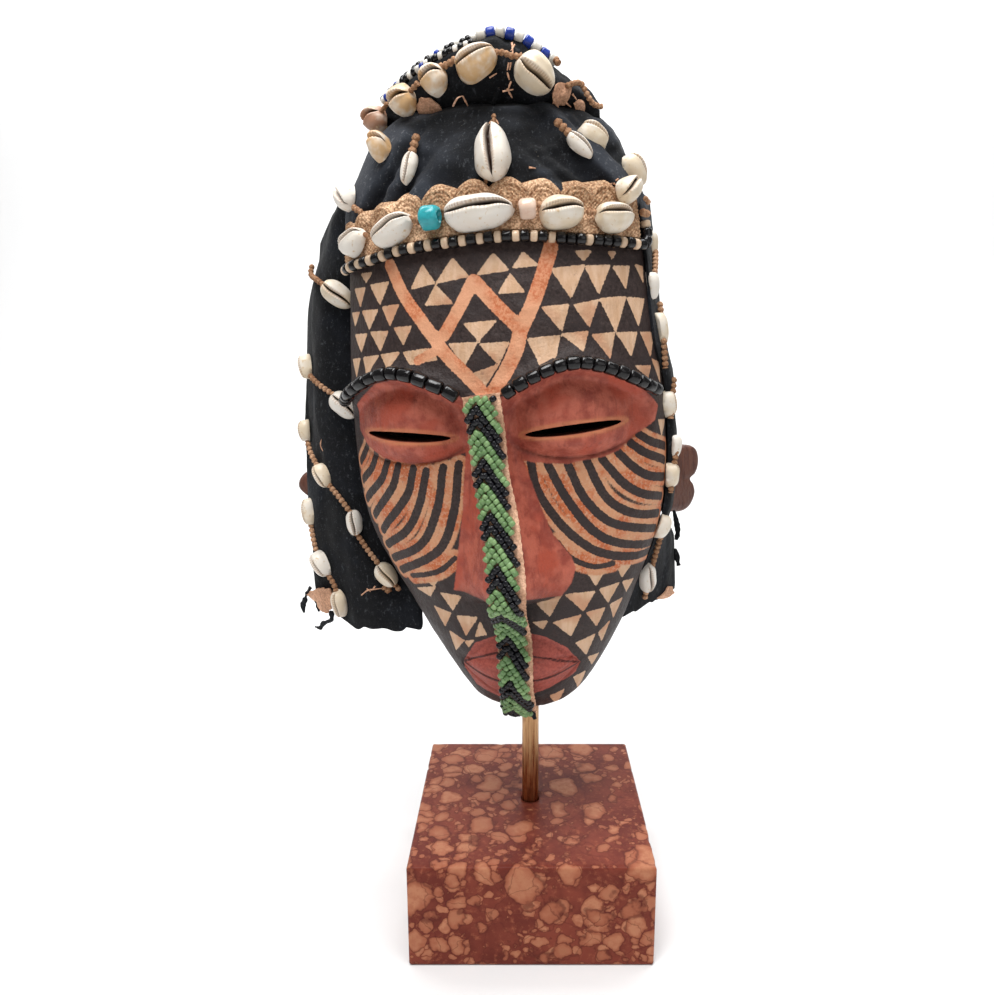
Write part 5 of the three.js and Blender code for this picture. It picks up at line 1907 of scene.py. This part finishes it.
CREST_THREADS = (
    ((1085, 160), (1092, 215)), ((1100, 170), (1080, 202)), ((1070, 262), (1062, 302)),
    ((1062, 312), (1075, 352)), ((1082, 262), (1076, 300)), ((1085, 360), (1068, 402)),
    ((1036, 412), (1098, 402)), ((1062, 398), (1092, 446)), ((740, 495), (770, 450), (800, 438)),
    ((800, 440), (828, 492)), ((958, 340), (1002, 316)),
    ((1350, 478), (1380, 520), (1410, 548)), ((1400, 470), (1440, 500)),
    ((1342, 440), (1332, 480)), ((1440, 440), (1470, 470)),
)
CAP_THREADS = (
    ((1195, 888), (1232, 896)), ((984, 585), (955, 618)), ((986, 585), (1012, 620)),
    ((904, 905), (926, 938)), ((1598, 960), (1612, 1004)), ((1660, 1006), (1712, 962)),
    ((1690, 985), (1716, 1012)),
)
RAGS = (
    ((520, 495), (556, 458), (600, 452), (640, 470), (668, 505), (655, 535), (605, 552),
     (545, 545)),
    ((1335, 385), (1400, 385), (1425, 420), (1400, 470), (1345, 470), (1325, 430)),
    ((1450, 475), (1480, 465), (1512, 490), (1515, 525), (1480, 520)),
)
LINING = (
    (150, 985), (175, 965), (215, 945), (255, 935), (290, 950), (300, 1000), (290, 1060),
    (275, 1090), (240, 1075), (215, 1060), (208, 1020), (180, 1005),
)
RIGHT_LINING = (
    (118, 585), (150, 563), (180, 520), (204, 514), (210, 540), (228, 552), (200, 570),
    (160, 586),
)
LEFT_THREADS = (
    ((470, 982), (505, 955), (548, 948), (592, 943)), ((500, 944), (522, 962)),
    ((548, 930), (530, 955)), ((242, 45), (232, 90), (250, 130)), ((262, 60), (252, 110)),
)
LEFT_SHREDS = (
    (((165, 940), (140, 985), (133, 1012), (120, 1050), (126, 1092)), (1.2, 1.0, 1.3, 2.2, 0.8)),
    (((190, 990), (206, 1040), (215, 1084)), (1.2, 1.4, 0.8)),
    (((288, 1080), (290, 1130), (262, 1146), (240, 1156), (222, 1182), (192, 1176)),
     (1.4, 1.5, 1.2, 1.5, 1.4, 0.6)),
)
RIGHT_SHREDS = (
    (((232, 60), (250, 140), (256, 195), (246, 238)), (0.8, 1.4, 2.0, 0.8)),
    (((238, 290), (250, 340), (262, 392)), (1.2, 1.8, 1.2)),
)
THREAD_RADIUS = 0.42
LEFT_CORD = (((596, 925), (622, 948), (632, 965)), 2.0)
STRIP_SHREDS = (
    (((196, 372), (212, 402), (232, 414)), (1.4, 2.0, 1.4)),
    (((225, 408), (262, 430), (304, 438)), (1.6, 2.4, 1.6)),
    (((345, 428), (375, 440), (392, 470)), (1.8, 2.2, 1.0)),
)


def make_bits():
    left, right = on_panel(left_panel), on_panel(right_panel)

    def corded(window, place_on, lift, lines):
        return [knotted(placed(window, place_on, lift, places), (0, -1, 0), radius, 2.4)
                for places, radius in lines]

    def threads(window, place_on, lift, lines):
        widths = (THREAD_RADIUS, THREAD_RADIUS, THREAD_RADIUS * 0.6)
        return [strand(placed(window, place_on, lift, places), widths, 0.8, i)
                for i, places in enumerate(lines)]

    def shreds(window, place_on, lift, lines):
        return [strand(placed(window, place_on, lift, places), widths, 0.4, i)
                for i, (places, widths) in enumerate(lines)]

    def rag(window, place_on, lift, outline, seed):
        flat = placed(window, place_on, 0, outline)[:, [0, 2]]
        return torn(place_on, flat, lift, seed)

    bits("sewn_cords", "cord", "raffia",
         corded(TOP, on_crest, 2.2, CREST_CORDS) + corded(TOP, on_band, 0.9, BAND_CORDS)
         + corded(TOP, on_cap, 1.2, CAP_CORDS)
         + corded(LEFT_CORNER, left, CLOTH / 2 + 0.8, [LEFT_CORD]))
    bits("loose_threads", "rag", "raffia",
         threads(TOP, on_crest, 1.4, CREST_THREADS) + threads(TOP, on_cap, 0.7, CAP_THREADS)
         + threads(LEFT_CORNER, left, CLOTH / 2 + 0.2, LEFT_THREADS))
    bits("torn_rags", "rag", "raffia",
         [rag(TOP, on_crest, 1.4, outline, i) for i, outline in enumerate(RAGS)]
         + [rag(LEFT_CORNER, left, CLOTH / 2 + 0.7, LINING, 5),
            rag(RIGHT_CORNER, right, 2.0, RIGHT_LINING, 6)])
    bits("torn_cloth", "cloth", "black_cloth",
         shreds(LEFT_CORNER, left, CLOTH / 2 - 0.6, LEFT_SHREDS)
         + shreds(RIGHT_CORNER, on_right_edge, 0.6, RIGHT_SHREDS)
         + shreds(CHIN_END, on_strip, 0.8, STRIP_SHREDS)
         + shreds(TOP, on_crest, 1.3, [(((1012, 398), (990, 450), (972, 502)), (0.9, 1.2, 0.8))]))


def hood(name, node, part, **values):
    return masked(name, part, LOOKS["cloth"], "black_cloth", [node], 80, **values)


def make_object():
    marble_base()
    brass_rod()
    carved_face()
    cap_part, ridge = folded_cap()
    cap = hood("hood_cap", "cap", cap_part, ridge=ridge)
    crest = hood("hood_crest", "crest", folded_crest())
    left = hood("hood_left", "left_lappet", hanging(
        left_panel, left_top, left_bottom, 60, 190, 101, 0.9, CLOTH / 2))
    right = hood("hood_right", "right_lappet", hanging(
        right_panel, level(343), right_bottom, 46, 190, 111, 0.3, 0.75, (-0.5, 0.6)))
    neck = hood("hood_back", "neck_cloth", hanging(
        neck_panel, level(329.7), level(112), 100, 110, 121, 1.2, CLOTH / 2))
    band_part, band_shade = headband()
    band = masked("scalloped_band", band_part, LOOKS["raffia"], "raffia", ["raffia_headband"], 80,
                  hollow=band_shade)
    cloth_part = strip_cloth()
    strip = masked("strip_cloth", cloth_part, LOOKS["rag"], "raffia", (), 80,
                   hollow=np.zeros(len(cloth_part[0])))
    for name, beads, slot, node, look in (
        ("band_beads", headband_beads(), "black_beads", "headband_beads", "glass"),
        ("brow_string_left", brow_beads(-1, 77, 12, 76), "black_beads", "brow_beads_left", "glass"),
        ("brow_string_right", brow_beads(1, 80.5, 14, 78), "black_beads", "brow_beads_right",
         "glass"),
        ("crest_string", crest_beads(), "white_beads", "crest_beads", "glass"),
        ("seed_beads", strip_beads(), "green_beads", "nose_bead_strip", "seed"),
        ("blue_drum", drum(9.3, 5.6, on_head(-21.8, 333.5, 0, ON_BAND - 0.6), TURQUOISE, 2.2),
         "turquoise_bead", "turquoise_bead", "glass"),
        ("white_drum", drum(7.9, 4.7, on_head(21.4, 334, 0, ON_BAND - 0.6), PINKISH, 1.6),
         "white_beads", "white_bead", "glass"),
    ):
        part, tint, hollow = beads
        masked(name, part, LOOKS[look], slot, [node], 40, tint=tint, hollow=hollow)
    make_shells()
    make_bits()


# Floor, lights and camera
def plain_look(name, colour, roughness):
    material = bpy.data.materials.new(name)
    material.use_nodes = True
    shader = material.node_tree.nodes["Principled BSDF"]
    shader.inputs["Base Color"].default_value = colour
    shader.inputs["Roughness"].default_value = roughness
    return material


def make_stage():
    side, depth, high, bend = 3.0, 1.4, 2.6, 0.7
    profile = [(-2.2, 0.0), (depth - bend, 0.0)]
    for angle in np.linspace(0, math.pi / 2, 13)[1:]:
        profile.append((depth - bend + bend * math.sin(angle), bend - bend * math.cos(angle)))
    profile.append((depth, high))
    points = [(x, y, z) for y, z in profile for x in (-side, side)]
    faces = [(2 * i, 2 * i + 1, 2 * i + 3, 2 * i + 2) for i in range(len(profile) - 1)]
    floor = mesh_object("floor", points, faces)
    floor.data.shade_smooth()
    floor.data.materials.append(plain_look("pale_floor", (0.78, 0.78, 0.78, 1), 0.8))


def area_light(name, at, size, power, towards=(0, 0, 0.28)):
    light = bpy.data.lights.new(name, "AREA")
    light.shape = "RECTANGLE"
    light.size, light.size_y = size
    light.energy = power
    lamp = bpy.data.objects.new(name, light)
    bpy.context.scene.collection.objects.link(lamp)
    lamp.location = at
    aim = Vector(towards) - Vector(at)
    lamp.rotation_euler = aim.to_track_quat("-Z", "Y").to_euler()


def make_lights():
    world = bpy.data.worlds.new("soft_white")
    world.use_nodes = True
    background = world.node_tree.nodes["Background"]
    background.inputs["Color"].default_value = (1, 1, 1, 1)
    background.inputs["Strength"].default_value = 0.2
    bpy.context.scene.world = world
    area_light("key", (-0.35, -0.7, 1.6), (0.7, 0.7), 15)
    area_light("fill", (0.9, -1.0, 0.8), (0.9, 0.9), 2.5)
    area_light("top", (0.05, -0.3, 1.6), (0.8, 0.8), 16)
    area_light("backdrop", (0.0, 0.5, 1.7), (2.4, 0.6), 30, towards=(0, 1.4, 0.4))


def make_camera():
    data = bpy.data.cameras.new("photo_camera")
    longest = max(PHOTO_SIZE)
    data.sensor_width = 36
    data.lens = FOCAL / longest * data.sensor_width
    data.shift_x = -(PHOTO_CENTRE[0] - PHOTO_SIZE[0] / 2) / longest
    data.shift_y = (PHOTO_CENTRE[1] - PHOTO_SIZE[1] / 2) / longest
    data.clip_start, data.clip_end = 0.01, 20
    camera = bpy.data.objects.new("photo_camera", data)
    bpy.context.scene.collection.objects.link(camera)
    camera.location = CAMERA_AT
    camera.rotation_euler = (math.pi / 2 - PITCH, 0, 0)
    bpy.context.scene.camera = camera
    bpy.context.scene.view_settings.view_transform = "Standard"
    bpy.context.scene.view_settings.look = "None"


make_stage()
make_camera()
make_lights()
make_object()

bpy.context.view_layer.update()
